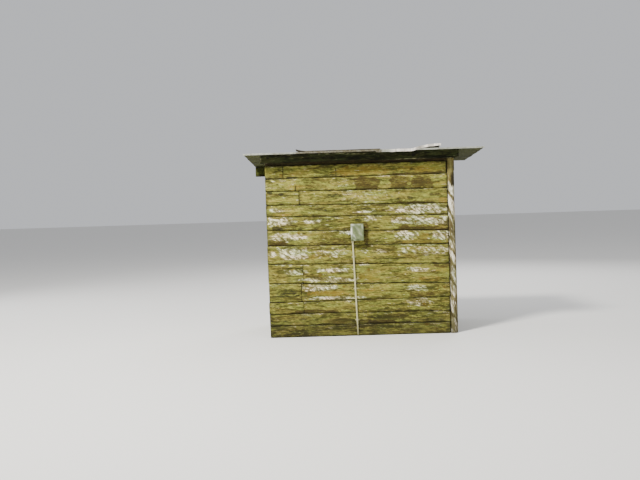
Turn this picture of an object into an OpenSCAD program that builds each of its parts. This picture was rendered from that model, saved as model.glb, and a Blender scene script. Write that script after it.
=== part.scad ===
// Small board-sided outhouse with a low single-pitch roof.
// Millimetres, +Z up. The origin is on the ground, under the middle of the walls.
// X runs along the two long walls. The plain front wall faces -Y, the door faces +Y.

/* [Walls] */
// Length of the walls, from the left board ends to the outside of the corner pole
wall_len = 2365; // [1900:5:3000]
// Depth of the walls over their boards
wall_depth = 1200; // [1000:10:1600]
// Height of the front wall, from the ground to the rafter seats
wall_h = 2190; // [2100:5:2500]
// Thickness of the wall boards
board_t = 25; // [18:1:32]
// Heights of the courses at their left ends, from the ground up, stretched to fill a wall
course_left = [150, 150, 147, 243, 241, 229, 195, 169, 146, 169, 155, 193]; // [90:1:260]
// Heights of the same courses at their right ends, because rough boards taper
course_right = [147, 142, 176, 168, 247, 246, 166, 196, 142, 190, 181, 186]; // [90:1:260]
// Narrowest gap between two courses
course_gap = 3; // [3:0.5:8]
// How far a sawn edge wanders
edge_wander = 3; // [0:0.5:6]
// Narrowest wane along a board's lower edge
wane_least = 6; // [2:1:12]
// Widest wane along a board's lower edge, where none was read from the photo
wane_most = 44; // [15:1:60]
// Width of the rounding along a board's upper edge
wane_top = 9; // [2:1:15]
// Gap where two board ends meet, and where a board meets the pole
butt_gap = 4; // [3:0.5:10]
// How far a ragged board end may stop short
ragged = 8; // [0:1:15]
// How much further each front board stops short of the pole, from the ground up
pole_short = [2, 0, 3, 1, 0, 2, 0, 1, 2, 0, 3, 14]; // [0:1:20]
// Dark gap between the front wall's top board and the rafter seats
eaves_gap = 34; // [3:1:45]
// How far the end walls stand in from the ends of the long walls' boards
side_inset = 8; // [2:1:20]

/* [Frame] */
// Width of the sills
sill_w = 90; // [70:5:120]
// Height of the sills
sill_h = 90; // [60:5:120]
// Side of a square post, and depth of the studs
post_w = 90; // [70:5:120]
// Width of a stud along its wall
stud_w = 60; // [50:5:80]
// Thickness of a top plate
plate_h = 45; // [35:5:60]
// Distance from the left end of the front wall to the stud behind its board joints
joint_stud_at = 425; // [300:1:700]
// Spacing of the studs in the front wall
stud_step = 600; // [400:10:800]
// Board joint in the top course, from the left end of the front wall
top_joint_at = 230; // [150:1:350]

/* [Corner pole] */
// Diameter of the natural pole at the ground
pole_d = 98; // [70:1:120]
// How much thinner the pole is at its top
pole_taper = 8; // [0:1:20]
// Sideways bend of the pole
pole_bend = 6; // [0:1:12]
// How far the pole stands proud of the front boards
pole_proud = 6; // [0:1:15]

/* [Floor] */
// Thickness of the floor boards
floor_t = 22; // [18:1:32]
// Number of floor boards
floor_count = 6; // [4:1:9]
// Gap between floor boards
floor_gap = 4; // [3:0.5:10]
// Width of a floor joist
joist_w = 60; // [45:5:90]
// Spacing of the floor joists, counted from the middle one
joist_step = 450; // [350:10:600]

/* [Roof] */
// Fall of the roof towards the back, in degrees
roof_slope = 3.25; // [2:0.25:8]
// Roof overhang past the left end of the walls
roof_left = 240; // [100:2:400]
// Roof overhang past the right end of the walls
roof_right = 343; // [100:1:500]
// Reach of the rafters past the front boards
roof_front = 85; // [40:5:200]
// Reach of the rafters past the back boards
roof_back = 60; // [40:5:200]
// Number of rafters
rafter_count = 4; // [3:1:6]
// Width of a rafter
rafter_w = 45; // [35:5:60]
// Height of a rafter
rafter_h = 89; // [70:1:120]
// Thickness of the deck boards
deck_t = 22; // [18:1:32]
// Number of deck boards
deck_count = 7; // [5:1:10]
// Gap between deck boards
deck_gap = 4; // [3:0.5:8]

/* [Fascias] */
// Length of the front fascia
front_fascia_len = 2438; // [1900:2:3000]
// Distance of the front fascia's middle from the middle of the walls
front_fascia_shift = -3; // [-40:1:40]
// Height of the front fascia
front_fascia_h = 104; // [80:1:140]
// Thickness of the front fascia
front_fascia_t = 22; // [18:1:40]
// Height of the back fascia
back_fascia_h = 140; // [100:1:180]
// Thickness of the back fascia
back_fascia_t = 38; // [20:1:50]
// Reach of the back fascia past the right end of the walls
back_fascia_right = 180; // [0:5:300]

/* [Roofing] */
// Thickness of a roofing sheet
sheet_t = 2; // [1:0.5:4]
// Height of the folded edge along the front
sheet_lip = 20; // [8:1:24]
// Height of the third sheet's folded edge, which hangs lower
lip_3 = 32; // [15:1:40]
// How far the sheets reach past the deck at the back and the ends
sheet_reach = 8; // [2:1:20]
// Where the first lap lies, from the left end of the walls
lap_1_at = 470; // [350:5:600]
// Where the second lap lies
lap_2_at = 1430; // [1200:5:1600]
// Where the third sheet ends, from the right end of the walls
lap_3_in = 180; // [40:5:250]
// Width of a lap
lap_w = 90; // [60:5:150]
// Width of the third lap
lap_3_w = 310; // [60:5:400]
// Height that the third sheet's loose front corner stands up
loose_h = 50; // [10:1:60]
// Length of the loose corner along the eaves
loose_w = 350; // [320:5:450]
// Reach of the loose corner up the roof
loose_run = 520; // [450:10:800]
// Height of the folded edge at the end of the loose corner
loose_lip = 27; // [15:1:32]
// Length of the loose plank on the roof
plank_len = 1040; // [600:10:1300]
// Width of the loose plank
plank_w = 150; // [100:5:220]
// Thickness of the loose plank
plank_t = 10; // [6:1:30]
// Distance of the plank's left end from the left end of the walls
plank_at = 402; // [200:1:800]
// Height that the plank's left end is warped up
plank_lift = 25; // [0:1:40]
// Length of the warped stretch
plank_bend = 150; // [80:5:300]

/* [Door] */
// Clear width of the doorway between its jambs
door_w = 680; // [600:5:760]
// Clear height of the doorway above the sill
door_h = 1790; // [1600:5:1810]
// How far the door laps the jambs, the header and the sill
door_lap = 20; // [12:1:25]
// Clearance round the door
door_clear = 5; // [3:0.5:8]
// Number of boards in the door
door_count = 5; // [3:1:7]
// Gap between the door's boards
door_gap = 3; // [3:0.5:6]
// Height of the header over the doorway
header_h = 90; // [60:5:110]
// Height of a door batten
batten_h = 110; // [80:5:140]
// Thickness of a door batten
batten_t = 22; // [18:1:30]
// Distance of the battens from the ends of the door
batten_in = 190; // [120:5:300]
// Length of a hinge strap
strap_len = 300; // [200:10:450]
// Width of a hinge strap
strap_w = 34; // [25:1:50]
// Thickness of the hinge plates
strap_t = 4; // [3:0.5:6]
// Height of the turning latch above the ground
latch_z = 1010; // [850:5:1200]
// Length of the turning latch
latch_len = 96; // [80:2:140]

/* [Switch box] */
// Distance from the left end of the front wall to the middle of the box
box_at = 1130; // [600:5:1700]
// Height of the box's lower edge above the ground
box_z = 1200; // [900:1:1400]
// Width of the box
box_w = 156; // [120:1:220]
// Height of the box
box_h = 206; // [160:1:280]
// Depth of the box without its cover
box_d = 84; // [60:1:120]
// Wall of the box and its cover
box_wall = 2; // [1.5:0.5:4]
// Height of the cover's folded rim
cover_rim = 16; // [10:1:30]
// Length of the lever on the box's left side
lever_len = 52; // [35:1:80]
// Diameter of the lever's hub
lever_d = 30; // [16:1:40]
// How far the lever stands out from the box
lever_out = 34; // [24:1:45]
// Diameter of the conduit
conduit_d = 22; // [18:1:32]
// Distance from the box's left side to the conduit
conduit_in = 20; // [20:1:60]
// Sideways lean of the conduit, in degrees
conduit_lean = 1.7; // [0:0.1:3]
// Number of conduit straps
clip_count = 3; // [2:1:5]

/* [Hidden] */
$fn = 48;

// Outside of the boards
x_left = -wall_len / 2;
x_right = wall_len / 2;
y_front = -wall_depth / 2;
y_back = wall_depth / 2;

// Outside of the frame, which the boards are nailed to
fx0 = x_left + side_inset + board_t;
fx1 = x_right - side_inset - board_t;
fy0 = y_front + board_t;
fy1 = y_back - board_t;

// Rafter lines: the underside runs through the outer top edge of the front plate
fall = tan(roof_slope);
rise = rafter_h / cos(roof_slope);
function under_z(y) = wall_h - (y - fy0) * fall;
function deck_z(y) = under_z(y) + rise;
tail_front = y_front - roof_front;
tail_back = y_back + roof_back;
back_seat_z = under_z(fy1 - post_w);
front_plate_z = wall_h - plate_h;
back_plate_z = back_seat_z - plate_h;
rail_z = back_plate_z;

// Roof plane: origin at the deck's front edge, second axis down the slope
deck_over = 2;
deck_y0 = tail_front - front_fascia_t - deck_over;
deck_y1 = tail_back + back_fascia_t + deck_over;
deck_run = (deck_y1 - deck_y0) / cos(roof_slope);
deck_x0 = x_left - roof_left;
deck_x1 = x_right + roof_right;
module on_roof() {
    translate([0, deck_y0, deck_z(deck_y0)])
        rotate([-roof_slope, 0, 0])
            children();
}

// One repeatable random number between a and b
function pick(a, b, seed) = rands(a, b, 1, seed)[0];
// Sum of the first n entries of a list
function sum_to(list, n) = n == 0 ? 0 : list[n - 1] + sum_to(list, n - 1);
// The list with its first k entries moved to its end
function turned(list, k) = [for (i = [0 : len(list) - 1]) list[(i + k) % len(list)]];
// Smooth wave between 0 and 1 along a wall
function wave(u, seed) =
    0.5 + 0.3 * sin(u * pick(0.22, 0.34, seed) + pick(0, 360, seed + 1))
        + 0.2 * sin(u * pick(0.55, 0.8, seed + 2) + pick(0, 360, seed + 3));

// A wall's boards are drawn lying flat: u runs along the wall, z up it, and the sawn back
// lies at 0 with the face at board_t. Each wall is [left cuts, right cuts, length, height, seed,
// wide wanes read from the photo].
function cuts_0(wall) = wall[0];
function cuts_1(wall) = wall[1];
function span(wall) = wall[2];
function height(wall) = wall[3];
function seed(wall) = wall[4];
function seen_wanes(wall) = wall[5];

course_count = len(course_left);
// Height of seam i, counted from the ground
function share(cuts, i) = sum_to(cuts, i) / sum_to(cuts, course_count);
function seam_z(wall, i, u) =
    height(wall) * (share(cuts_0(wall), i) * (1 - u / span(wall))
        + share(cuts_1(wall), i) * u / span(wall));
// Lower and upper edge of course i at its sawn back
function low_z(wall, i, u) =
    seam_z(wall, i, u) + course_gap / 2 + edge_wander * wave(u, seed(wall) + 100 + 7 * i);
function top_z(wall, i, u) =
    seam_z(wall, i + 1, u) - course_gap / 2
        - (i == course_count - 1 ? 0 : edge_wander * wave(u, seed(wall) + 500 + 7 * i));
// Width that the stretches read from the photo add to the wane, smooth from end to end
function seen_wane(wall, i, u) =
    max(concat([0], [for (w = seen_wanes(wall))
        if (w[0] == i && u > w[1] && u < w[2]) w[3] * pow(sin(180 * (u - w[1]) / (w[2] - w[1])), 0.6)]));
// Width of the wane on the lower edge: narrow, with a few wide stretches. Where the photo
// shows the stretches, chance adds little
function chance(wall) = len(seen_wanes(wall)) > 0 ? 0.35 : 1;
function wane_w(wall, i, u) =
    wane_least + seen_wane(wall, i, u)
        + (wane_most - wane_least) * chance(wall) * pow(wave(u, seed(wall) + 900 + 13 * i), 2.5);

edge_step = 110;
// Section of a board at u as [outwards, up]: sawn back, round wane below, flat face, eased top
function section(low, top, wane) = [
    [0, low], [0.5 * board_t, low + 0.13 * wane], [0.86 * board_t, low + 0.5 * wane],
    [board_t, low + wane], [board_t, top - wane_top], [0.7 * board_t, top - 0.25 * wane_top], [0, top]
];
// Solid through one closed section at each station, its ends flat
module carried(stations, sections) {
    n = len(stations);
    m = len(sections[0]);
    points = [for (k = [0 : n - 1]) for (q = sections[k]) [stations[k], q[1], q[0]]];
    sides = [for (k = [0 : n - 2]) for (a = [0 : m - 1])
        let (b = (a + 1) % m, near = k * m, far = near + m)
            [near + a, near + b, far + b, far + a]];
    polyhedron(points, concat(sides, [
        [for (a = [m - 1 : -1 : 0]) a],
        [for (a = [0 : m - 1]) (n - 1) * m + a]
    ]));
}
// One board of course i from u0 to u1, kept over a floor and under a lid that may slope
module board(wall, i, u0, u1, floor_z = 0, lid_0 = 1e5, lid_1 = 1e5) {
    n = max(2, round((u1 - u0) / edge_step));
    us = [for (k = [0 : n]) u0 + (u1 - u0) * k / n];
    carried(us, [for (u = us) section(
        max(low_z(wall, i, u), floor_z),
        min(top_z(wall, i, u), lid_0 + (lid_1 - lid_0) * u / span(wall)),
        wane_w(wall, i, u))]);
}
// Stands the front wall's boards upright, their faces to the front
module stand_front() {
    translate([x_left, fy0, 0])
        rotate([90, 0, 0])
            children();
}
// Stands the back wall's boards upright, seen from behind with u running to the left end
module stand_back() {
    translate([x_right, fy1, 0])
        rotate([90, 0, 180])
            children();
}
// Stands an end wall's boards upright at x, with u running to the back
module stand_end(x) {
    translate([x, fy0, 0])
        rotate([90, 0, 90])
            children();
}

// A beam given by its low and high corner
module beam(low, high) {
    translate(low)
        cube(high - low);
}

// Corner pole: rings round a gently bent axis, up to the seat of the last rafter
pole_top = wall_h;
pole_cx = x_right - pole_d / 2 - pole_bend / 2;
pole_cy = y_front + pole_d / 2 - pole_proud;
pole_rings = 12;
pole_sides = 20;
function pole_x(z) = pole_cx + pole_bend / 2 * sin(300 * z / pole_top + 40);
function pole_y(z) = pole_cy + pole_bend / 3 * sin(420 * z / pole_top);
function pole_r(z) = (pole_d - pole_taper * z / pole_top) / 2;
pole_left = pole_cx - pole_bend / 2 - pole_d / 2;
pole_rear = pole_cy + pole_bend / 3 + pole_d / 2;
pole_fit = 2;

// Sills and floor

module sill_front() {
    color("#5d4f3d")
        beam([fx0, fy0, 0], [pole_left - pole_fit, fy0 + sill_w, sill_h]);
}
module sill_back() {
    color("#5d4f3d")
        beam([fx0, fy1 - sill_w, 0], [fx1, fy1, sill_h]);
}
module side_sill(x) {
    color("#5d4f3d")
        beam([x, fy0 + sill_w, 0], [x + sill_w, fy1 - sill_w, sill_h]);
}
module sill_left() {
    side_sill(fx0);
}
module sill_right() {
    side_sill(fx1 - sill_w);
}
joist_reach = floor((fx1 - sill_w - joist_w) / joist_step);
module floor_joists() {
    color("#6b5b46")
        for (k = [-joist_reach : joist_reach])
            beam([k * joist_step - joist_w / 2, fy0 + sill_w, 0],
                 [k * joist_step + joist_w / 2, fy1 - sill_w, sill_h]);
}
frame_in = max(sill_w, post_w);
floor_y0 = fy0 + frame_in + floor_gap;
floor_y1 = fy1 - frame_in - floor_gap;
floor_board_w = (floor_y1 - floor_y0 - (floor_count - 1) * floor_gap) / floor_count;
module floor_boards() {
    color("#8a7658")
        for (k = [0 : floor_count - 1]) {
            y = floor_y0 + k * (floor_board_w + floor_gap);
            beam([fx0 + frame_in + floor_gap, y, sill_h],
                 [fx1 - frame_in - floor_gap, y + floor_board_w, sill_h + floor_t]);
        }
}

// Posts, studs and plates

module post_front_left() {
    color("#77674f")
        beam([fx0, fy0, sill_h], [fx0 + post_w, fy0 + post_w, front_plate_z]);
}
module corner_pole() {
    points = [for (k = [0 : pole_rings - 1]) let (z = pole_top * k / (pole_rings - 1))
        for (a = [0 : pole_sides - 1]) let (turn = 360 * a / pole_sides)
            [pole_x(z) + pole_r(z) * cos(turn), pole_y(z) + pole_r(z) * sin(turn), z]];
    sides = [for (k = [0 : pole_rings - 2]) for (a = [0 : pole_sides - 1])
        let (b = (a + 1) % pole_sides, low = k * pole_sides, high = low + pole_sides)
            [low + a, high + a, high + b, low + b]];
    foot = [for (a = [0 : pole_sides - 1]) a];
    head = [for (a = [pole_sides - 1 : -1 : 0]) (pole_rings - 1) * pole_sides + a];
    color("#a3916f")
        polyhedron(points, concat(sides, [foot, head]));
}
module post_back_left() {
    color("#77674f")
        beam([fx0, fy1 - post_w, sill_h], [fx0 + post_w, fy1, back_plate_z]);
}
module post_back_right() {
    color("#77674f")
        beam([fx1 - post_w, fy1 - post_w, sill_h], [fx1, fy1, back_plate_z]);
}
// Studs at the board joints and on from there, and one beside the pole
last_stud_x = pole_left - pole_fit - stud_w / 2;
stud_xs = concat(
    [for (x = [x_left + joint_stud_at : stud_step : last_stud_x - 1.5 * stud_w]) x], [last_stud_x]);
module front_studs() {
    color("#7d6c53")
        for (x = stud_xs)
            beam([x - stud_w / 2, fy0, sill_h], [x + stud_w / 2, fy0 + post_w, front_plate_z]);
}
module side_stud(x, y) {
    beam([x, y, sill_h], [x + post_w, y + stud_w, rail_z]);
}
module left_stud() {
    color("#7d6c53")
        side_stud(fx0, -stud_w / 2);
}
module right_studs() {
    color("#7d6c53") {
        side_stud(fx1 - post_w, -stud_w / 2);
        side_stud(fx1 - post_w, fy0 + frame_in);
    }
}
module top_plate_front() {
    color("#7d6c53")
        beam([fx0, fy0, front_plate_z], [pole_left - pole_fit, fy0 + post_w, wall_h]);
}
module top_plate_back() {
    color("#7d6c53")
        beam([fx0, fy1 - post_w, back_plate_z], [fx1, fy1, back_seat_z]);
}
module side_rail(x) {
    color("#7d6c53")
        beam([x, fy0 + post_w, rail_z], [x + post_w, fy1 - post_w, rail_z + plate_h]);
}
module side_rail_left() {
    side_rail(fx0);
}
module side_rail_right() {
    side_rail(fx1 - post_w);
}

// Board walls

siding_clear = 3;
// Wide wanes that the front wall shows: course, start, end and added width of each
front_wanes = [
    [1, 1200, 1600, 40], [2, 300, 800, 40], [6, 10, 260, 40], [6, 640, 1050, 36],
    [7, 1600, 2060, 56], [9, 1600, 2100, 20], [10, 1130, 1380, 46], [10, 1550, 1760, 46],
    [10, 1840, 2060, 56]
];
end_lid_0 = deck_z(fy0) - siding_clear;
end_lid_1 = deck_z(fy1) - siding_clear;
front_wall = [course_left, course_right, wall_len, wall_h - siding_clear, 11, front_wanes];
left_wall = [turned(course_right, 5), turned(course_left, 5), fy1 - fy0, end_lid_0, 23, []];
right_wall = [turned(course_left, 8), turned(course_right, 8), fy1 - fy0, end_lid_0, 37, []];
back_wall = [turned(course_left, 3), turned(course_right, 3), wall_len,
    under_z(y_back) - siding_clear, 53, []];
// Pairs of a course and where its two boards meet
front_joints = [
    [2, joint_stud_at + 12], [3, joint_stud_at - 10], [4, joint_stud_at + 14],
    [9, joint_stud_at - 4], [11, top_joint_at]
];
function joint_in(i) = [for (j = front_joints) if (j[0] == i) j[1]];
// Right end of a front board: just short of the pole at that height
function pole_end(z) = pole_x(z) - pole_r(z) - butt_gap - x_left;
module front_siding() {
    lid = wall_h - eaves_gap;
    color("#9a8a68")
        stand_front()
            for (i = [0 : course_count - 1]) {
                start = pick(0, ragged, 900 + i);
                end = min(pole_end(seam_z(front_wall, i, wall_len)),
                    pole_end(seam_z(front_wall, i + 1, wall_len))) - pole_short[i];
                cuts = concat([start], joint_in(i), [end]);
                last = len(cuts) - 2;
                for (k = [0 : last])
                    board(front_wall, i, cuts[k] + (k == 0 ? 0 : butt_gap / 2),
                          cuts[k + 1] - (k == last ? 0 : butt_gap / 2), lid_0 = lid, lid_1 = lid);
            }
}
module left_siding() {
    color("#93825f")
        mirror([1, 0, 0])
            stand_end(-fx0)
                for (i = [0 : course_count - 1])
                    board(left_wall, i, 0, span(left_wall), lid_0 = end_lid_0, lid_1 = end_lid_1);
}
module right_siding() {
    color("#93825f")
        stand_end(fx1)
            for (i = [0 : course_count - 1])
                board(right_wall, i, pole_rear + butt_gap - fy0, span(right_wall),
                      lid_0 = end_lid_0, lid_1 = end_lid_1);
}
leaf_w = door_w + 2 * door_lap;
leaf_z0 = sill_h - door_lap;
leaf_z1 = sill_h + door_h + door_lap;
door_hole_u0 = wall_len / 2 - leaf_w / 2 - door_clear;
door_hole_u1 = wall_len / 2 + leaf_w / 2 + door_clear;
module back_siding_left() {
    color("#8c7c5c")
        stand_back()
            for (i = [0 : course_count - 1])
                board(back_wall, i, door_hole_u1, wall_len);
}
module back_siding_right() {
    color("#8c7c5c")
        stand_back()
            for (i = [0 : course_count - 1])
                board(back_wall, i, 0, door_hole_u0);
}
// Over the door, from the first course whose top is well above it
over_z = leaf_z1 + door_clear;
over_least = 80;
function over_low(i, u) = i == over_first ? over_z : low_z(back_wall, i, u);
over_first = [for (i = [0 : course_count - 1])
    if (min(seam_z(back_wall, i + 1, door_hole_u0), seam_z(back_wall, i + 1, door_hole_u1))
        > over_z + over_least) i][0];
module back_siding_over_door() {
    n = 6;
    u0 = door_hole_u0 + butt_gap;
    u1 = door_hole_u1 - butt_gap;
    us = [for (k = [0 : n]) u0 + (u1 - u0) * k / n];
    color("#8c7c5c")
        stand_back()
            for (i = [over_first : course_count - 1])
                carried(us, [for (u = us) section(over_low(i, u), top_z(back_wall, i, u), wane_least)]);
}

// Door, closed, with its hinges and its turning latch

module door_jambs() {
    color("#7d6c53")
        for (side = [-1, 1])
            translate([side * (door_w + stud_w) / 2 - stud_w / 2, fy1 - post_w, sill_h])
                cube([stud_w, post_w, back_plate_z - sill_h]);
}
header_z = sill_h + door_h;
module door_header() {
    color("#7d6c53")
        beam([-door_w / 2, fy1 - post_w, header_z], [door_w / 2, fy1, header_z + header_h]);
}
door_board_w = (leaf_w - (door_count - 1) * door_gap) / door_count;
module door_boards() {
    color("#86765a")
        for (k = [0 : door_count - 1]) {
            x = -leaf_w / 2 + k * (door_board_w + door_gap);
            beam([x, fy1, leaf_z0], [x + door_board_w, y_back, leaf_z1]);
        }
}
batten_zs = [leaf_z0 + batten_in, leaf_z1 - batten_in - batten_h];
batten_x = door_w / 2 - door_clear;
brace_w = 80;
brace_fit = 3;
module door_battens() {
    z0 = batten_zs[0] + batten_h + brace_fit;
    z1 = batten_zs[1] - brace_fit;
    color("#7a6a50")
        translate([0, fy1, 0])
            rotate([90, 0, 0])
                linear_extrude(batten_t) {
                    for (z = batten_zs)
                        translate([-batten_x, z])
                            square([2 * batten_x, batten_h]);
                    polygon([
                        [-batten_x, z0], [-batten_x + brace_w, z0], [batten_x, z1], [batten_x - brace_w, z1]
                    ]);
                }
}
knuckle_d = 12;
pin_x = -leaf_w / 2 - door_clear / 2;
plate_len = 50;
module door_hinges() {
    color("#4a4038")
        for (z = batten_zs)
            translate([pin_x, y_back, z + batten_h / 2]) {
                union() {
                    // Strap, tapering to a round end
                    rotate([-90, 0, 0])
                        linear_extrude(strap_t)
                            polygon([
                                [0, -strap_w / 2], [strap_len, -strap_w / 4],
                                [strap_len, strap_w / 4], [0, strap_w / 2]
                            ]);
                    translate([-plate_len, 0, -strap_w / 2])
                        cube([plate_len, strap_t, strap_w]);
                    translate([0, knuckle_d / 2, -strap_w / 2])
                        cylinder(d = knuckle_d, h = strap_w);
                }
            }
}
latch_h = 32;
latch_t = 18;
module door_latch() {
    color("#6f6048")
        translate([leaf_w / 2 + door_clear / 2, y_back, latch_z])
            rotate([-90, 0, 0])
                linear_extrude(latch_t)
                    hull() {
                        translate([-latch_len / 2 + latch_h / 2, 0])
                            circle(d = latch_h);
                        translate([latch_len / 2 - latch_h / 2, 0])
                            circle(d = latch_h);
                    }
}

// Roof

module rafters() {
    first = fx0 + rafter_w / 2;
    step = (fx1 - fx0 - rafter_w) / (rafter_count - 1);
    side = [
        [tail_front, under_z(tail_front)],
        [fy0, wall_h], [fy0 + post_w, wall_h], [fy0 + post_w, under_z(fy0 + post_w)],
        [fy1 - post_w, back_seat_z], [fy1, back_seat_z], [fy1, under_z(fy1)],
        [tail_back, under_z(tail_back)], [tail_back, deck_z(tail_back)],
        [tail_front, deck_z(tail_front)]
    ];
    color("#6f5f49")
        for (k = [0 : rafter_count - 1])
            translate([first + k * step - rafter_w / 2, 0, 0])
                rotate([90, 0, 90])
                    linear_extrude(rafter_w)
                        polygon(side);
}
deck_board_w = (deck_run - (deck_count - 1) * deck_gap) / deck_count;
module roof_deck() {
    color("#7b6a4f")
        on_roof()
            for (k = [0 : deck_count - 1])
                beam([deck_x0 + pick(0, ragged, 71 + k), k * (deck_board_w + deck_gap), 0],
                     [deck_x1 - pick(0, ragged, 91 + k), k * (deck_board_w + deck_gap) + deck_board_w,
                      deck_t]);
}
// Flat sheet with a folded front edge, on a layer of its own where it laps another
module flat_sheet(x0, x1, layer) {
    z = deck_t + layer * sheet_t;
    lip_y = -(layer + 1) * sheet_t;
    color(layer == 0 ? "#8d9094" : "#a2a5a8")
        on_roof()
            translate([x0, 0, 0])
                rotate([90, 0, 90])
                    linear_extrude(x1 - x0)
                        polygon([
                            [lip_y, z + sheet_t - sheet_lip], [lip_y + sheet_t, z + sheet_t - sheet_lip],
                            [lip_y + sheet_t, z], [deck_run + sheet_reach, z],
                            [deck_run + sheet_reach, z + sheet_t], [lip_y, z + sheet_t]
                        ]);
}
lap_1 = x_left + lap_1_at;
lap_2 = x_left + lap_2_at;
module roofing_sheet_1() {
    flat_sheet(deck_x0 - sheet_reach, lap_1 + lap_w / 2, 0);
}
module roofing_sheet_2() {
    flat_sheet(lap_1 - lap_w / 2, lap_2 + lap_w / 2, 1);
}
// The third sheet steps up over the fourth at a crease, and its front corner stands up
sheet_3_end = x_right - lap_3_in;
sheet_4_start = sheet_3_end - lap_3_w;
crease_x = sheet_3_end - loose_w;
crease_w = 30;
// Shares of the loose corner's length and of its reach where it bends
loose_shares = [0, crease_w / loose_w, 0.22, 0.42, 0.68, 1];
loose_rows = [0.15, 0.35, 0.55, 0.75, 1];
// Height over the flat sheet at x and at y up the roof
function loose_z(x, y) =
    let (along = max(0, (x - crease_x) / loose_w), back = max(0, 1 - y / loose_run))
        sheet_t * min(1, along * loose_w / crease_w) + loose_h * (1 - pow(1 - along, 2)) * pow(back, 2);
// Closed plate between an outer and an inner line at each x, each a list of [y, z]
module plate(xs, outer, inner) {
    m = len(outer[0]);
    last = len(xs) - 1;
    s = len(xs) * m;
    lines = concat(outer, inner);
    points = [for (k = [0 : 2 * last + 1]) for (q = lines[k]) [xs[k % len(xs)], q[0], q[1]]];
    skins = [for (i = [0 : last - 1]) for (k = [0 : m - 2]) let (a = i * m + k, b = a + s)
        each [[a, a + 1, a + m + 1, a + m], [b, b + m, b + m + 1, b + 1]]];
    rims = [for (i = [0 : last - 1]) let (a = i * m, b = a + m - 1)
        each [[a, a + m, a + m + s, a + s], [b + m, b, b + s, b + m + s]]];
    ends = [for (k = [0 : m - 2]) let (a = k, b = last * m + k)
        each [[a + 1, a, a + s, a + s + 1], [b, b + 1, b + s + 1, b + s]]];
    polyhedron(points, concat(skins, rims, ends));
}
module roofing_sheet_3() {
    xs = concat([lap_2 - lap_w / 2], [for (s = loose_shares) crease_x + loose_w * s]);
    ys = concat([for (s = loose_rows) loose_run * s], [deck_run + sheet_reach]);
    // The loose corner's folded edge lies one layer further out and is less high at its end
    fronts = [for (x = xs) -sheet_t * (x > crease_x ? 2 : 1)];
    lips = [for (x = xs) lip_3 + (loose_lip - lip_3) * max(0, (x - crease_x) / loose_w)];
    outer = [for (i = [0 : len(xs) - 1]) let (z = deck_t + sheet_t + loose_z(xs[i], fronts[i]))
        concat([[fronts[i], z - lips[i]], [fronts[i], z]],
            [for (y = ys) [y, deck_t + sheet_t + loose_z(xs[i], y)]])];
    inner = [for (i = [0 : len(xs) - 1]) let (y0 = fronts[i] + sheet_t)
        concat([[y0, outer[i][0][1]], [y0, deck_t + loose_z(xs[i], y0)]],
            [for (y = ys) [y, deck_t + loose_z(xs[i], y)]])];
    color("#8d9094")
        on_roof()
            plate(xs, outer, inner);
}
module roofing_sheet_4() {
    flat_sheet(sheet_4_start, deck_x1 + sheet_reach, 0);
}
// The plank lies flush with the sheets' front edge
plank_y = -2 * sheet_t;
plank_z = deck_t + 2 * sheet_t;
plank_steps = 6;
module roof_plank() {
    low = [for (k = [0 : plank_steps])
        let (s = k / plank_steps) [plank_bend * s, plank_lift * pow(1 - s, 2)]];
    high = [for (k = [plank_steps : -1 : 0]) low[k] + [0, plank_t]];
    color("#8e8066")
        on_roof()
            translate([x_left + plank_at, plank_y + plank_w, plank_z])
                rotate([90, 0, 0])
                    linear_extrude(plank_w)
                        polygon(concat(low, [[plank_len, 0], [plank_len, plank_t]], high));
}
module front_fascia() {
    x = front_fascia_shift;
    z = deck_z(tail_front);
    color("#23211f")
        beam([x - front_fascia_len / 2, tail_front - front_fascia_t, z - front_fascia_h],
             [x + front_fascia_len / 2, tail_front, z]);
}
module back_fascia() {
    z = deck_z(tail_back + back_fascia_t);
    color("#6e5c45")
        beam([deck_x0 + ragged, tail_back, z - back_fascia_h],
             [x_right + back_fascia_right, tail_back + back_fascia_t, z]);
}

// Switch box with its conduit

box_x = x_left + box_at;
module switch_box() {
    color("#9fa69c")
        translate([box_x - box_w / 2, y_front - box_d, box_z])
            cube([box_w, box_d, box_h]);
}
cover_fit = 0.5;
module box_cover() {
    edge = box_wall + cover_fit;
    color("#aab1a7")
        difference() {
            translate([box_x - box_w / 2 - edge, y_front - box_d - box_wall, box_z - edge])
                cube([box_w + 2 * edge, cover_rim + box_wall, box_h + 2 * edge]);
            translate([box_x - box_w / 2 - cover_fit, y_front - box_d, box_z - cover_fit])
                cube([box_w + 2 * cover_fit, cover_rim + 1, box_h + 2 * cover_fit]);
        }
}
lever_share = 0.42;
lever_z = box_z + lever_share * box_h;
lever_t = 12;
module box_lever() {
    color("#6d726c")
        translate([box_x - box_w / 2, y_front - box_d / 2, lever_z])
            rotate([0, -90, 0])
                union() {
                    cylinder(d = lever_d, h = lever_out - lever_t);
                    translate([0, 0, lever_out - lever_t])
                        hull() {
                            cylinder(d = lever_d, h = lever_t);
                            translate([0, -lever_len / 2, 0])
                                cylinder(d = 0.7 * lever_d, h = lever_t);
                        }
                }
}
conduit_gap = 3;
conduit_clear = 1;
conduit_foot = 16;
collar_d = conduit_d + 8;
collar_h = 20;
conduit_x = box_x - box_w / 2 + conduit_in;
conduit_y = y_front - conduit_d / 2 - conduit_gap;
conduit_len = (box_z - conduit_foot) / cos(conduit_lean);
module along_conduit() {
    translate([conduit_x, conduit_y, box_z])
        rotate([0, 180 - conduit_lean, 0])
            children();
}
module conduit() {
    color("#b5b6b2")
        along_conduit()
            translate([0, 0, conduit_clear])
                union() {
                    cylinder(d = conduit_d, h = conduit_len - conduit_clear);
                    cylinder(d = collar_d, h = collar_h);
                }
}
clip_h = 18;
clip_fit = 0.3;
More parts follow.
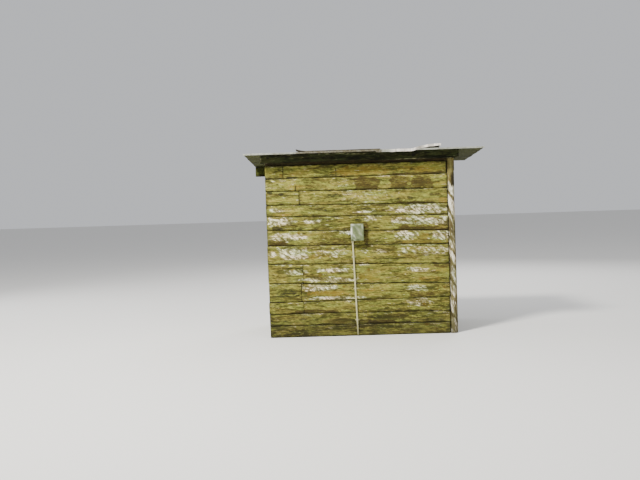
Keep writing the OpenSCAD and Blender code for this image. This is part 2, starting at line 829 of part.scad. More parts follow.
module conduit_straps() {
    color("#8f918d")
        for (k = [0 : clip_count - 1])
            along_conduit()
                translate([0, 0, conduit_len * (k + 0.5) / clip_count])
                    difference() {
                        translate([-conduit_d, 0, 0])
                            cube([2 * conduit_d, conduit_d / 2 + conduit_gap, clip_h]);
                        translate([0, 0, -1])
                            cylinder(d = conduit_d + 2 * clip_fit, h = clip_h + 2);
                    }
}

sill_front();
sill_back();
sill_left();
sill_right();
floor_joists();
floor_boards();
post_front_left();
corner_pole();
post_back_left();
post_back_right();
front_studs();
left_stud();
right_studs();
top_plate_front();
top_plate_back();
side_rail_left();
side_rail_right();
front_siding();
left_siding();
right_siding();
back_siding_left();
back_siding_right();
back_siding_over_door();
door_jambs();
door_header();
door_boards();
door_battens();
door_hinges();
door_latch();
rafters();
roof_deck();
roofing_sheet_1();
roofing_sheet_2();
roofing_sheet_3();
roofing_sheet_4();
roof_plank();
front_fascia();
back_fascia();
switch_box();
box_cover();
box_lever();
conduit();
conduit_straps();
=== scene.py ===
"""Looks of a small board-sided outhouse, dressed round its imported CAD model.

Metres, in the CAD model's own axes: X runs along the two long walls towards the
natural corner pole, the plain front wall faces -Y, the door faces +Y and Z is up.
The script reads the outline of each plain CAD board from the frame and carves a
weathered board on it, so every board stays where the CAD says.
"""

from __future__ import annotations

import logging
import math
import sys
from dataclasses import dataclass, field, replace
from enum import Enum
from functools import cache

import bpy
import numpy as np
from mathutils import Matrix, Vector

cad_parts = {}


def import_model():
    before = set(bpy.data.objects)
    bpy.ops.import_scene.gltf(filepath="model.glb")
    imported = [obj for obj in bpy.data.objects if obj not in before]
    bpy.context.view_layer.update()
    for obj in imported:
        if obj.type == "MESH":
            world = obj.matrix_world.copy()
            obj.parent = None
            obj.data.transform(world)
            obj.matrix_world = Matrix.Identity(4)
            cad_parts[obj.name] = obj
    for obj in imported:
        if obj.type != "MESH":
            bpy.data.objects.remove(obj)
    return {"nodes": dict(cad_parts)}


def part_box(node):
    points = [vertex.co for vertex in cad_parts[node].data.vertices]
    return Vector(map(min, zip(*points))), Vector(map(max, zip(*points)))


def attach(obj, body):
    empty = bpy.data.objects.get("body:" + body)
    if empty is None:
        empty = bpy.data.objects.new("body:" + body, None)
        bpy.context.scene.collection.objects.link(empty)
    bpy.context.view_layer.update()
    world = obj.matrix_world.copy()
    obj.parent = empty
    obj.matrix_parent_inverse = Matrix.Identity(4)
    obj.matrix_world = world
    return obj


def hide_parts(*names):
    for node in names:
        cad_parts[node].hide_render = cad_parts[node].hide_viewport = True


LOG = logging.getLogger("outhouse")
Array = np.ndarray
Object = bpy.types.Object
Nodes = dict[str, Object]
Material = bpy.types.Material
Group = bpy.types.NodeTree
Socket = bpy.types.NodeSocket
Sockets = bpy.types.bpy_prop_collection
Feed = Socket | float | tuple[float, ...]
Colour = tuple[int, int, int]
Spot = tuple[float, float, float]
Rows = tuple[tuple[float, ...], ...]
Marks = dict[str, Array]
BODY = "root"
MM = 0.001
LATTICE = 256
LAYER_SEEDS = 31
BOARD_SEEDS = 7
NAIL_HIGH = 1.6 * MM
GRAIN_MAP = "grain"
MARKS = ("bark", "silver", "warm", "dark", "edge", "knot", "tone")
SHARP_ANGLE = math.radians(42)
STATION_GAP = 1 * MM


# Number helpers


@cache
def lattice(seed: int) -> Array:
    """Return a repeatable square of random values from -1 to 1."""
    return np.random.default_rng(seed).uniform(-1, 1, (LATTICE, LATTICE))


def ripple(x: Array, y: Array, seed: int, octaves: int = 1) -> Array:
    """Make smooth random relief between about -1 and 1.

    The values of a unit lattice are blended along both axes with the weight
    3 t^2 - 2 t^3. Each further octave has half the size and half the height.

    Args:
        x: First coordinates, in lattice cells.
        y: Second coordinates, in lattice cells.
        seed: Which lattice to use.
        octaves: Number of layers.

    Returns:
        One value for each pair of coordinates.
    """
    x, y = np.broadcast_arrays(np.asarray(x, float), np.asarray(y, float))
    total, height, size = np.zeros(x.shape), 1.0, 1.0
    for layer in range(octaves):
        table = lattice(seed + LAYER_SEEDS * layer)
        column, row = np.floor(x * size), np.floor(y * size)
        a, b = x * size - column, y * size - row
        a, b = a * a * (3 - 2 * a), b * b * (3 - 2 * b)
        i, j = column.astype(int) % LATTICE, row.astype(int) % LATTICE
        i2, j2 = (i + 1) % LATTICE, (j + 1) % LATTICE
        near = table[i, j] * (1 - a) + table[i2, j] * a
        far = table[i, j2] * (1 - a) + table[i2, j2] * a
        total += height * (near * (1 - b) + far * b)
        height, size = height / 2, size * 2
    return total


def flow(at: Array, known_at: Array, known: Array) -> Array:
    """Draw a smooth line through known points, a cubic between each two.

    Each cubic meets its neighbour with the mean slope at the shared point.

    Args:
        at: Where the line is wanted.
        known_at: Places of the known points, in rising order.
        known: Heights of the known points.

    Returns:
        The line's height at each place.
    """
    if len(known_at) < 3:
        return np.interp(at, known_at, known)
    slope = np.gradient(known, known_at)
    k = np.clip(np.searchsorted(known_at, at, side="right") - 1, 0, len(known_at) - 2)
    run = known_at[k + 1] - known_at[k]
    t = (at - known_at[k]) / run
    return (
        (1 + 2 * t) * (1 - t) ** 2 * known[k]
        + t * (1 - t) ** 2 * run * slope[k]
        + t * t * (3 - 2 * t) * known[k + 1]
        + t * t * (t - 1) * run * slope[k + 1]
    )


def rise(value: Array, low: float, high: float) -> Array:
    """Go smoothly from 0 at low to 1 at high."""
    t = np.clip((value - low) / (high - low), 0, 1)
    return t * t * (3 - 2 * t)


def tint(colour: Colour) -> tuple[float, ...]:
    """Turn a display colour of 0 to 255 into the linear colour of a shader."""
    parts = (part / 255 for part in colour)
    return (*(c / 12.92 if c < 0.04045 else ((c + 0.055) / 1.055) ** 2.4 for c in parts), 1.0)


def centred(corners: tuple[Spot, Spot]) -> tuple[Array, Array, Array, Array]:
    """Return a box's low and high corner, its middle and its half sizes."""
    low, high = (np.array(corner) for corner in corners)
    return low, high, (low + high) / 2, (high - low) / 2


# Meshes


@dataclass
class Surface:
    """A closed skin: points, four-sided faces, flat ends and what the finish reads.

    Attributes:
        points: Places of the points, (n, 3).
        quads: Point numbers of the faces, (m, 4).
        quad_map: Map coordinates of the face corners, (m, 4, 2).
        ends: Point numbers of the flat ends.
        end_maps: Map coordinates of the ends' corners.
        marks: Value of each mark at each point.
    """

    points: Array
    quads: Array
    quad_map: Array
    ends: list[Array] = field(default_factory=list)
    end_maps: list[Array] = field(default_factory=list)
    marks: Marks = field(default_factory=dict)

    def volume(self) -> float:
        """Add up the volumes between the middle and each face.

        A triangle a, b, c adds a . (b x c) / 6.

        Returns:
            The volume, which is negative if the faces look inwards.
        """
        p = self.points - self.points.mean(axis=0)
        a, b, c, d = (p[self.quads[:, k]] for k in range(4))
        total = np.einsum("ij,ij->", a, np.cross(b, c)) + np.einsum("ij,ij->", a, np.cross(c, d))
        for ring in self.ends:
            q = p[ring]
            total += np.einsum("j,ij->", q[0], np.cross(q[1:-1], q[2:]))
        return total / 6

    def turned_out(self) -> Surface:
        """Turn all the faces round if they look inwards.

        Returns:
            The same surface.
        """
        if self.volume() < 0:
            self.quads = self.quads[:, ::-1]
            self.quad_map = self.quad_map[:, ::-1]
            self.ends = [ring[::-1] for ring in self.ends]
            self.end_maps = [flat[::-1] for flat in self.end_maps]
        return self


def skin(rings: Array, across: Array, along: Array, marks: Marks | None = None) -> Surface:
    """Stretch a skin over closed rings and close both ends with flat faces.

    Point j of ring i is joined to point j + 1 of the ring and to point j of the
    next ring. The map runs along the rings' path and round each ring.

    Args:
        rings: Places, (rings, points in a ring, 3).
        across: Map coordinate round each ring, (rings, points + 1).
        along: Map coordinate of each ring, (rings,) or (rings, points + 1).
        marks: Values at the points, (rings, points).

    Returns:
        The closed surface.
    """
    count, size = rings.shape[:2]
    number = np.arange(count * size).reshape(count, size)
    after = np.roll(number, -1, axis=1)
    quads = np.stack([number[:-1], number[1:], after[1:], after[:-1]], axis=-1).reshape(-1, 4)
    along = along[:, None] if along.ndim == 1 else along
    flat = np.stack(np.broadcast_arrays(along, across), axis=-1)
    corners = [flat[:-1, :-1], flat[1:, :-1], flat[1:, 1:], flat[:-1, 1:]]
    quad_map = np.stack(corners, axis=2).reshape(-1, 4, 2)
    ends, end_maps = [number[0], number[-1][::-1]], []
    for ring in ends:
        spot = rings.reshape(-1, 3)[ring]
        middle = spot - spot.mean(axis=0)
        axes = np.linalg.svd(middle, full_matrices=False)[2][:2]
        end_maps.append(middle @ axes.T + flat[0, 0])
    surface = Surface(rings.reshape(-1, 3), quads, quad_map, ends, end_maps)
    surface.marks = {name: value.reshape(-1) for name, value in (marks or {}).items()}
    return surface.turned_out()


def make_piece(
    name: str,
    parts: list[Surface],
    finish: Material,
    nodes: tuple[str, ...] = (),
    end_finish: Material | None = None,
) -> None:
    """Join surfaces into one piece that rides on the body.

    Args:
        name: Name of the piece.
        parts: The surfaces in it.
        finish: Material of the piece.
        nodes: CAD nodes that the piece stands for.
        end_finish: Material of the flat ends, if it is another one.
    """
    starts = np.cumsum([0] + [len(p.points) for p in parts])
    quads = np.concatenate([p.quads + s for p, s in zip(parts, starts)])
    ends = [ring + s for p, s in zip(parts, starts) for ring in p.ends]
    corners = np.concatenate([quads.ravel(), *ends])
    sizes = np.concatenate([np.full(len(quads), 4), [len(ring) for ring in ends]]).astype(int)
    maps = [p.quad_map.reshape(-1, 2) for p in parts] + [m for p in parts for m in p.end_maps]
    places = np.concatenate([p.points for p in parts])
    mesh = bpy.data.meshes.new(name)
    mesh.vertices.add(len(places))
    mesh.vertices.foreach_set("co", places.astype(np.float32).ravel())
    mesh.loops.add(len(corners))
    mesh.polygons.add(len(sizes))
    first = np.concatenate([[0], np.cumsum(sizes)[:-1]])
    mesh.polygons.foreach_set("loop_start", first.astype(np.int32))
    mesh.polygons.foreach_set("vertices", corners.astype(np.int32))
    mesh.materials.append(finish)
    if end_finish is not None:
        mesh.materials.append(end_finish)
        which = np.repeat([0, 1], [len(quads), len(ends)]).astype(np.int32)
        mesh.polygons.foreach_set("material_index", which)
    mesh.update(calc_edges=True)
    layer = mesh.uv_layers.new(name=GRAIN_MAP)
    layer.data.foreach_set("uv", np.concatenate(maps).astype(np.float32).ravel())
    for mark in MARKS:
        values = [p.marks.get(mark, np.zeros(len(p.points))) for p in parts]
        attribute = mesh.attributes.new(mark, "FLOAT", "POINT")
        attribute.data.foreach_set("value", np.concatenate(values).astype(np.float32))
    mesh.polygons.foreach_set("use_smooth", np.ones(len(sizes), bool))
    mesh.set_sharp_from_angle(angle=SHARP_ANGLE)
    mesh.validate()
    piece = bpy.data.objects.new(name, mesh)
    bpy.context.scene.collection.objects.link(piece)
    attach(piece, BODY)
    if nodes:
        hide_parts(*nodes)
    LOG.info("%s: %d faces", name, len(sizes))


# Shapes read from the CAD model


@dataclass(frozen=True)
class Axes:
    """Directions of a board: along its grain, across its width, out of its face."""

    along: Spot
    across: Spot
    outward: Spot

    def matrix(self) -> Array:
        """Return the three directions as rows."""
        return np.array([self.along, self.across, self.outward], float)

    def read(self, points: Array) -> Array:
        """Return points of the model as (along, across, outward)."""
        return points @ self.matrix().T

    def place(self, points: Array) -> Array:
        """Return (along, across, outward) points in the model's axes."""
        return points @ self.matrix()


FRONT = Axes((1, 0, 0), (0, 0, 1), (0, -1, 0))
BACK = Axes((-1, 0, 0), (0, 0, 1), (0, 1, 0))
LEFT = Axes((0, -1, 0), (0, 0, 1), (-1, 0, 0))
RIGHT = Axes((0, 1, 0), (0, 0, 1), (1, 0, 0))
DOOR = Axes((0, 0, 1), (1, 0, 0), (0, 1, 0))
# Axes of the loops that are lofted: towards the back, inwards from the right, upwards
INTO = Axes((1, 0, 0), (0, 0, 1), (0, 1, 0))
LEFTWARDS = Axes((0, 1, 0), (0, 0, 1), (-1, 0, 0))
UPWARDS = Axes((1, 0, 0), (0, 1, 0), (0, 0, 1))


def node_points(node: Object) -> Array:
    """Read the points of a CAD node.

    Args:
        node: The node.

    Returns:
        Their places, (n, 3).
    """
    flat = np.zeros(len(node.data.vertices) * 3, np.float32)
    node.data.vertices.foreach_get("co", flat)
    return flat.reshape(-1, 3).astype(float)


def solids_of(node: Object) -> list[Array]:
    """Split a CAD node into its separate solids.

    Points at one place are merged, and each face then passes the lowest label
    among its corners on, until every solid has one label.

    Args:
        node: A CAD node, whose mesh stays as it is.

    Returns:
        The merged points of each solid, the lowest solid first.
    """
    points = node_points(node)
    merged, inverse = np.unique(np.round(points, 5), axis=0, return_inverse=True)
    inverse = inverse.reshape(-1)
    node.data.calc_loop_triangles()
    faces = np.zeros(len(node.data.loop_triangles) * 3, np.int32)
    node.data.loop_triangles.foreach_get("vertices", faces)
    faces = inverse[faces.reshape(-1, 3)]
    labels = np.arange(len(merged))
    while True:
        before = labels.copy()
        least = labels[faces].min(axis=1)
        np.minimum.at(labels, faces.ravel(), np.repeat(least, 3))
        labels = labels[labels]
        if np.array_equal(before, labels):
            break
    solids = [merged[labels == label] for label in np.unique(labels)]
    return sorted(solids, key=lambda p: p[:, 2].mean())


@dataclass
class Outline:
    """A plain board as lines along its length, read from its solid.

    Attributes:
        at: Places along the board.
        low: Lower edge at the sawn back.
        wane: Where the round lower edge meets the face.
        crown: Where the face meets the round upper edge.
        top: Upper edge at the sawn back.
        base: Outward place of the sawn back.
        thick: Thickness of the board.
    """

    at: Array
    low: Array
    wane: Array
    crown: Array
    top: Array
    base: float
    thick: float


def outline_of(solid: Array, axes: Axes) -> Outline:
    """Read a board's edges from the points of its solid.

    Points within a small gap of each other along the board are one station. The
    line between the middles of both ends parts the lower points from the upper
    ones, and an edge is the outermost of its own points on the back or the face.
    A station that has no point for an edge, on a straight stretch, takes it from
    its neighbours.

    Args:
        solid: Points of the solid.
        axes: Directions of the board.

    Returns:
        The board's outline.
    """
    u, v, d = axes.read(solid).T
    order = np.argsort(u)
    u, v, d = u[order], v[order], d[order]
    base, thick = d.min(), d.max() - d.min()
    station = np.concatenate([[0], np.cumsum(np.diff(u) > STATION_GAP)])
    count = station[-1] + 1
    at = np.bincount(station, u) / np.bincount(station)
    ends = [v[station == k] for k in (0, count - 1)]
    middle = np.interp(u, [at[0], at[-1]], [(end.min() + end.max()) / 2 for end in ends])
    on_back, on_face = d < base + 0.1 * thick, d > base + 0.9 * thick
    edges = []
    for plane, side in ((on_back, -1), (on_face, -1), (on_face, 1), (on_back, 1)):
        where = plane & (side * v > side * middle)
        line = np.full(count, -np.inf)
        np.maximum.at(line, station[where], side * v[where])
        known = np.isfinite(line)
        edges.append(np.interp(at, at[known], side * line[known]))
    return Outline(at, *edges, base, thick)


# Weathered boards


class Mark(Enum):
    """What a patch on a board shows."""

    BARK = "bark"
    SILVER = "silver"
    WARM = "warm"
    DARK = "dark"


@dataclass(frozen=True)
class Patch:
    """A patch on one board of a wall.

    Attributes:
        mark: What it shows.
        course: Course of the wall, counted from the ground.
        start: Left end, in metres from the wall's left end.
        end: Right end.
        low: Lower edge, as a share of the board's height.
        high: Upper edge.
        strength: How strongly it shows. Above 1, more of it shows fully.
    """

    mark: Mark
    course: int
    start: float
    end: float
    low: float
    high: float
    strength: float = 1.0

    def cover(self, u: Array, share: Array, seed: int) -> Array:
        """Work out how far each point lies in the patch.

        The patch is where x^p + y^p is below 1, x and y being the distances from
        its middle over its half sizes. Bark has p = 4 and a narrow border, and the
        others have p = 2 and a wide, rough one.

        Args:
            u: Places along the board.
            share: Places up the board, as shares of its height.
            seed: Seed of the rough border.

        Returns:
            Values from 0 to the patch's strength.
        """
        x = (u - (self.start + self.end) / 2) / ((self.end - self.start) / 2)
        y = (share - (self.low + self.high) / 2) / ((self.high - self.low) / 2)
        rough = 0.3 * ripple(u * 14, share * 5, seed, 3)
        if self.mark is Mark.BARK:
            inside = rise(1.15 - (x**4 + y**4) ** 0.25 - 0.7 * rough, 0, 0.3)
        else:
            inside = rise(1.4 - np.hypot(x, y) - rough, 0, 0.85)
        return self.strength * inside


@dataclass(frozen=True)
class Sawn:
    """How a kind of board was sawn and has worn.

    Attributes:
        step: Distance between stations.
        rows: Rows of points on the face, apart from those of the cracks.
        cracks: Number of long drying cracks.
        crack_wide: Width of a crack where it is open.
        crack_deep: Depth of a crack where it is open.
        cup: How far the face is hollowed across its width.
        heave: Height of the long waves in the face.
        furrow: Height of the raised grain.
        nibble: Roughness of the long edges.
        swell: How far the lower edge reaches down into the gap under the board.
        knots: Knots for each metre.
        knot_size: Radius of a knot.
        knot_rise: How far a knot stands out.
        knot_ring: Depth of the hollow round a knot.
        bark: How much bark stays on a wide wane.
        silver: Share of a board without patches of its own that has greyed.
        sunk: How far dark places have sunk in.
        end_wear: Roughness of the sawn ends.
        end_round: How far the edges draw in at the ends.
        dirt: How far the darkening reaches in from the lower edge and the ends: dirt, and painted
            shade in the seams.
        shade: How far the shadow of the board above reaches down.
        lit: How far the painted highlight of the lit upper edge reaches down.
    """

    step: float = 9 * MM
    rows: int = 15
    cracks: int = 2
    crack_wide: float = 3 * MM
    crack_deep: float = 7 * MM
    cup: float = 1.5 * MM
    heave: float = 1.5 * MM
    furrow: float = 0.5 * MM
    nibble: float = 1.5 * MM
    swell: float = 0.0
    knots: float = 1.2
    knot_size: float = 15 * MM
    knot_rise: float = 1.2 * MM
    knot_ring: float = 0.7 * MM
    bark: float = 1.0
    silver: float = 0.35
    sunk: float = 1.5 * MM
    end_wear: float = 2 * MM
    end_round: float = 1.2 * MM
    dirt: float = 12 * MM
    shade: float = 4 * MM
    lit: float = 16 * MM


def face_rows(rng: np.random.Generator, sawn: Sawn, u: Array, face: Array, seed: int) -> Array:
    """Place rows of points across a board's face, three close ones at each crack.

    A crack's line wanders across the face on its way along the board, and it opens
    and closes. Between the cracks the rows are evenly spaced.

    Args:
        rng: Random numbers of the board.
        sawn: How it was sawn and has worn.
        u: Stations along the board.
        face: Width of the face at each station.
        seed: Seed of the board.

    Returns:
        The rows as shares of the face's width, and how deep the cracks are there,
        (2, stations, rows).
    """
    none = np.zeros(len(u))
    shares, pits, left = [], [], none
    band = max(2, round(sawn.rows / (sawn.cracks + 1)))
    for k in range(sawn.cracks):
        line = (k + rng.uniform(0.35, 0.95)) / (sawn.cracks + 0.3)
        line = line + 0.05 * ripple(u * 1.6, k + 0.5, seed + 5, 2)
        open_ = rise(ripple(u * 2.2, k + 0.5, seed + 7, 2), -0.05, 0.45)
        open_ = open_ * rise(np.minimum(u - u[0], u[-1] - u), -0.01, 0.002)
        half = (0.3 * MM + sawn.crack_wide / 2 * open_) / face
        shares += [left + (line - half - left) * j / band for j in range(band)]
        shares += [line - half, line]
        pits += [none] * (band + 1) + [sawn.crack_deep * open_]
        left = line + half
    shares += [left + (1 - left) * j / band for j in range(band + 1)]
    pits += [none] * (band + 1)
    return np.stack([shares, pits]).transpose(0, 2, 1)


def carve(
    outline: Outline,
    axes: Axes,
    sawn: Sawn,
    seed: int,
    patches: list[Patch] | None = None,
    patch_zero: float = 0.0,
    tone: float | None = None,
) -> Surface:
    """Carve a weathered board on the outline of a plain one.

    A closed section is carried along the board. It has a quarter ellipse on the
    lower edge, v = low + w (1 - cos a) and d = thick sin a, the face, the same
    curve on the upper edge, and the flat back. The face is raised by the sum of
    a parabola across it, long waves, raised grain and a bell at each knot, and
    three close rows of points let each crack cut in as a V.

    Args:
        outline: The plain board.
        axes: Directions of the board.
        sawn: How it was sawn and has worn.
        seed: Seed of the board.
        patches: Patches on the board; without a list, random ones are made.
        patch_zero: Place along the board that the patches are measured from.
        tone: How pale the board is, from 0 to 1, or None for a random tone.

    Returns:
        The board's closed surface.
    """
    rng = np.random.default_rng(seed)
    start, end = outline.at[0], outline.at[-1]
    count = max(4, round((end - start) / sawn.step) + 1)
    u = np.linspace(start, end, count)
    edges = (outline.low, outline.wane, outline.crown, outline.top)
    low, wane, crown, top = (flow(u, outline.at, edge) for edge in edges)
    low = low - sawn.swell + sawn.nibble * np.abs(ripple(u * 30, 0.3, seed, 3))
    top = top - sawn.nibble * np.abs(ripple(u * 30, 0.7, seed + 1, 3))
    round_low = np.maximum(wane - low, MM) * (1 + 0.25 * ripple(u * 16, 0.5, seed + 2, 2))
    round_top = np.maximum(top - crown, MM) * (1 + 0.3 * ripple(u * 16, 0.5, seed + 3, 2))
    foot, head = low + round_low, top - round_top
    share, pit = face_rows(rng, sawn, u, head - foot, seed)
    # From here on, values along the board are columns and those round it are rows
    low, top, round_low, round_top = (
        line[:, None] for line in (low, top, round_low, round_top))

    # Round lower edge, face, round upper edge and back, as across and outward
    turn, back_turn = np.radians([0, 20, 40, 58, 75]), np.radians([60, 30, 0])
    v_low = low + round_low * (1 - np.cos(turn))
    v_face = foot[:, None] + share * (head - foot)[:, None]
    v_top = top - round_top * (1 - np.cos(back_turn))
    v_back = top + (low - top) * np.array([0.33, 0.67])
    v = np.concatenate([v_low, v_face, v_top, v_back], axis=1)
    rows_face, rows_back = v_face.shape[1], v_back.shape[1]
    d = [np.sin(turn), np.ones(rows_face), np.sin(back_turn), np.zeros(rows_back)]
    d = np.broadcast_to(np.concatenate(d), v.shape)
    pit = np.pad(pit, ((0, 0), (len(turn), len(back_turn) + rows_back)))
    along = np.broadcast_to(u[:, None], v.shape)
    middle, wide = (low + top) / 2, top - low
    height = np.clip((v - low) / wide, 0, 1)

    # Knots, which push the grain aside
    grain, knot, bump = v.copy(), np.zeros_like(v), np.zeros_like(v)
    number = rng.poisson(sawn.knots * (end - start))
    places = rng.uniform(start, end, number), rng.uniform(0.2, 0.85, number)
    for at, level, size in zip(*places, rng.uniform(0.6, 1.4, number) * sawn.knot_size):
        centre = low + level * wide
        x, y = (along - at) / (1.3 * size), (v - centre) / size
        r = np.hypot(x, y)
        knot = np.maximum(knot, np.clip(1.35 - r, 0, 1))
        grain -= 0.82 * (v - centre) * np.exp(-((x / 2.6) ** 2) - (y / 1.9) ** 2)
        bump += sawn.knot_rise * np.exp(-r * r)
        bump -= sawn.knot_ring * np.exp(-(((r - 1.15) * 3) ** 2))

    # Marks
    rough = seed + 11
    own = patches if patches is not None else random_patches(rng, sawn, start, end)
    zero = patch_zero if patches is not None else 0.0
    marks = {mark.value: np.zeros_like(v) for mark in Mark}
    for k, patch in enumerate(own):
        cover = patch.cover(along - zero, height, rough + k)
        marks[patch.mark.value] = np.maximum(marks[patch.mark.value], cover)
    near_low, near_top = v - low, top - v
    near_end = np.minimum(along - start, end - along)
    on_wane = rise(round_low, 0.012, 0.03) * rise(1.1 * round_low - near_low, 0, 0.006)
    flaked = rise(ripple(along * 9, v * 30, rough + 40, 3), -0.5, 0.2)
    marks["bark"] = np.clip(marks["bark"] + sawn.bark * on_wane * flaked, 0, 1)
    # The edge mark darkens the lower edge and the ends with dirt and painted shade in the seams,
    # and along the upper edge it paints the shadow of the board above.
    dirt = 1.2 * np.exp(-near_low / sawn.dirt) + 0.7 * np.exp(-near_end / sawn.dirt)
    marks["edge"] = np.maximum(dirt, 1.3 * np.exp(-near_top / sawn.shade))
    # Painted highlight: the silver mark makes the upper edge pale, as if it caught the light.
    lit = np.exp(-near_top / sawn.lit)
    lit = lit * rise(ripple(along * 5, middle * 9, rough + 41, 3), -0.7, 0.3)
    marks["silver"] = np.clip(marks["silver"] + 0.55 * lit, 0, 1)
    marks["knot"] = knot
    marks["tone"] = np.full(v.shape, rng.uniform(0, 1) if tone is None else tone)

    # Relief of the face, fading out on the round edges
    relief = sawn.cup * (1 - (2 * height - 1) ** 2) * rng.choice([-1, 1])
    relief = relief + sawn.heave * ripple(along * 4.5, middle * 3, rough + 50, 2)
    relief = relief + sawn.furrow * ripple(along * 9, grain * 75, rough + 51, 2) + bump
    flakes = (0.8 + 1.6 * ripple(along * 70, v * 90, rough + 52, 2)) * MM
    relief = relief + marks["bark"] * flakes - sawn.sunk * marks["dark"]
    depth = outline.thick * d + (relief - pit) * rise(d, 0.1, 0.8)

    # Worn ends: the end rings draw in a little and are rough
    is_end = np.zeros((count, 1))
    is_end[[0, -1]] = 1.0
    v = v + is_end * sawn.end_round * np.sign(middle - v)
    depth = depth - is_end * sawn.end_round * np.sign(d - 0.5)
    worn = sawn.end_wear * np.abs(ripple(v * 45, depth * 60, rough + 60, 2))
    inwards = np.where(np.arange(count) < count / 2, 1.0, -1.0)[:, None]
    out_u = along + is_end * worn * inwards
    rings = axes.place(np.stack([out_u, v, outline.base + depth], axis=-1).reshape(-1, 3))

    # Grain map: along the board, and round its section
    fold = outline.thick * (1 - d)
    across = np.where(height < 0.5, grain - fold, grain + fold)
    across[:, -rows_back:] = 2 * top + outline.thick - v[:, -rows_back:]
    offset = rng.uniform(0, 40, 2)
    across = np.concatenate([across, 2 * top + outline.thick - low], axis=1) + offset[1]
    return skin(rings.reshape(*v.shape, 3), across, u + offset[0], marks)


def random_patches(rng: np.random.Generator, sawn: Sawn, start: float, end: float) -> list[Patch]:
    """Scatter greyed, warm and dark patches along a board.

    Args:
        rng: Random numbers of the board.
        sawn: How much of it has greyed.
        start: Where the board begins.
        end: Where it ends.

    Returns:
        The patches.
    """
    found = []
    for mark, often in ((Mark.SILVER, 3.2 * sawn.silver), (Mark.WARM, 0.5), (Mark.DARK, 0.5)):
        for _ in range(rng.poisson(often * (end - start))):
            middle, low = rng.uniform(start, end), rng.uniform(-0.1, 0.6)
            half = rng.uniform(0.08, 0.4) if mark is not Mark.DARK else rng.uniform(0.03, 0.1)
            high, strength = low + rng.uniform(0.15, 0.5), rng.uniform(0.6, 1)
            found.append(Patch(mark, 0, middle - half, middle + half, low, high, strength))
    return found


def circle(side: Array, other: Array, sides: int) -> Array:
    """Return the points cos(a) side + sin(a) other of a circle, (sides, 3)."""
    turn = np.linspace(0, 2 * math.pi, sides, endpoint=False)[:, None]
    return np.cos(turn) * side + np.sin(turn) * other


def domes(spots: Array, outward: Spot, radius: float, height: float, sides: int = 9) -> Surface:
    """Put a low dome on every spot, all in one surface.

    A dome is three rings and a flat top, r = radius cos(a) and h = height sin(a),
    on a short shank that sinks into what carries it.

    Args:
        spots: Places of the domes' feet, (n, 3).
        outward: Direction that the domes stand out in.
        radius: Radius of a dome.
        height: Height of a dome.
        sides: Number of sides.

    Returns:
        The joined surface.
    """
    out = np.array(outward, float)
    side = np.cross(out, [0.0, 0.0, 1.0] if abs(out[2]) < 0.9 else [1.0, 0.0, 0.0])
    side /= np.linalg.norm(side)
    lift = np.radians([0, 0, 35, 68])[:, None, None]
    level = height * np.sin(lift)
    level[0] = -height
    dome = radius * np.cos(lift) * circle(side, np.cross(out, side), sides) + level * out
    one = skin(dome, np.linspace(0, 1, sides + 1)[None].repeat(4, 0), np.arange(4.0))
    count, size = len(spots), len(one.points)
    step = (np.arange(count) * size)[:, None, None]
    return Surface(
        (spots[:, None] + one.points).reshape(-1, 3),
        (one.quads + step).reshape(-1, 4),
        np.tile(one.quad_map, (count, 1, 1)),
        [end + k * size for k in range(count) for end in one.ends],
        one.end_maps * count,
    )


def round_loop(
    half_wide: float, half_high: float, radius: float, corner: int = 5, straight: int = 0
) -> Array:
    """Return a rectangle with quarter-circle corners as a closed loop.

    Args:
        half_wide: Half its width.
        half_high: Half its height.
        radius: Radius of its corners.
        corner: Points on each corner.
        straight: Further points on each straight side.

    Returns:
        The loop's points, (n, 2).
    """
    turn = np.radians(np.concatenate([np.linspace(q, q + 90, corner) for q in (0, 90, 180, 270)]))
    sign_x = np.repeat([1, -1, -1, 1], corner)
    sign_y = np.repeat([1, 1, -1, -1], corner)
    x = sign_x * (half_wide - radius) + radius * np.cos(turn)
    y = sign_y * (half_high - radius) + radius * np.sin(turn)
    loop = np.stack([x, y], axis=1)
    between = np.arange(1, straight + 1) / (straight + 1)
    side = np.concatenate([np.arange(corner), corner - 1 + between])
    at = (side + corner * np.arange(4)[:, None]).ravel()
    low = at.astype(int)
    part = (at - low)[:, None]
    return loop[low] * (1 - part) + loop[(low + 1) % len(loop)] * part


def loft(loops: list[Array], levels: list[float], axes: Axes, origin: Spot | Array) -> Surface:
    """Stretch a skin over flat loops at rising levels.

    Args:
        loops: Closed loops of equal numbers of points, (n, 2) each.
        levels: Level of each loop.
        axes: Directions of the loops' x and y and of the levels.
        origin: Where the loops' zero lies at level zero.

    Returns:
        The closed surface.
    """
    flat = np.stack([np.insert(loop, 2, level, axis=1) for loop, level in zip(loops, levels)])
    run = np.linalg.norm(np.diff(np.concatenate([loops[0], loops[0][:1]]), axis=0), axis=1)
    across = np.concatenate([[0], np.cumsum(run)])[None].repeat(len(loops), 0)
    return skin(axes.place(flat) + np.array(origin), across, np.array(levels, float))


# Shader trees


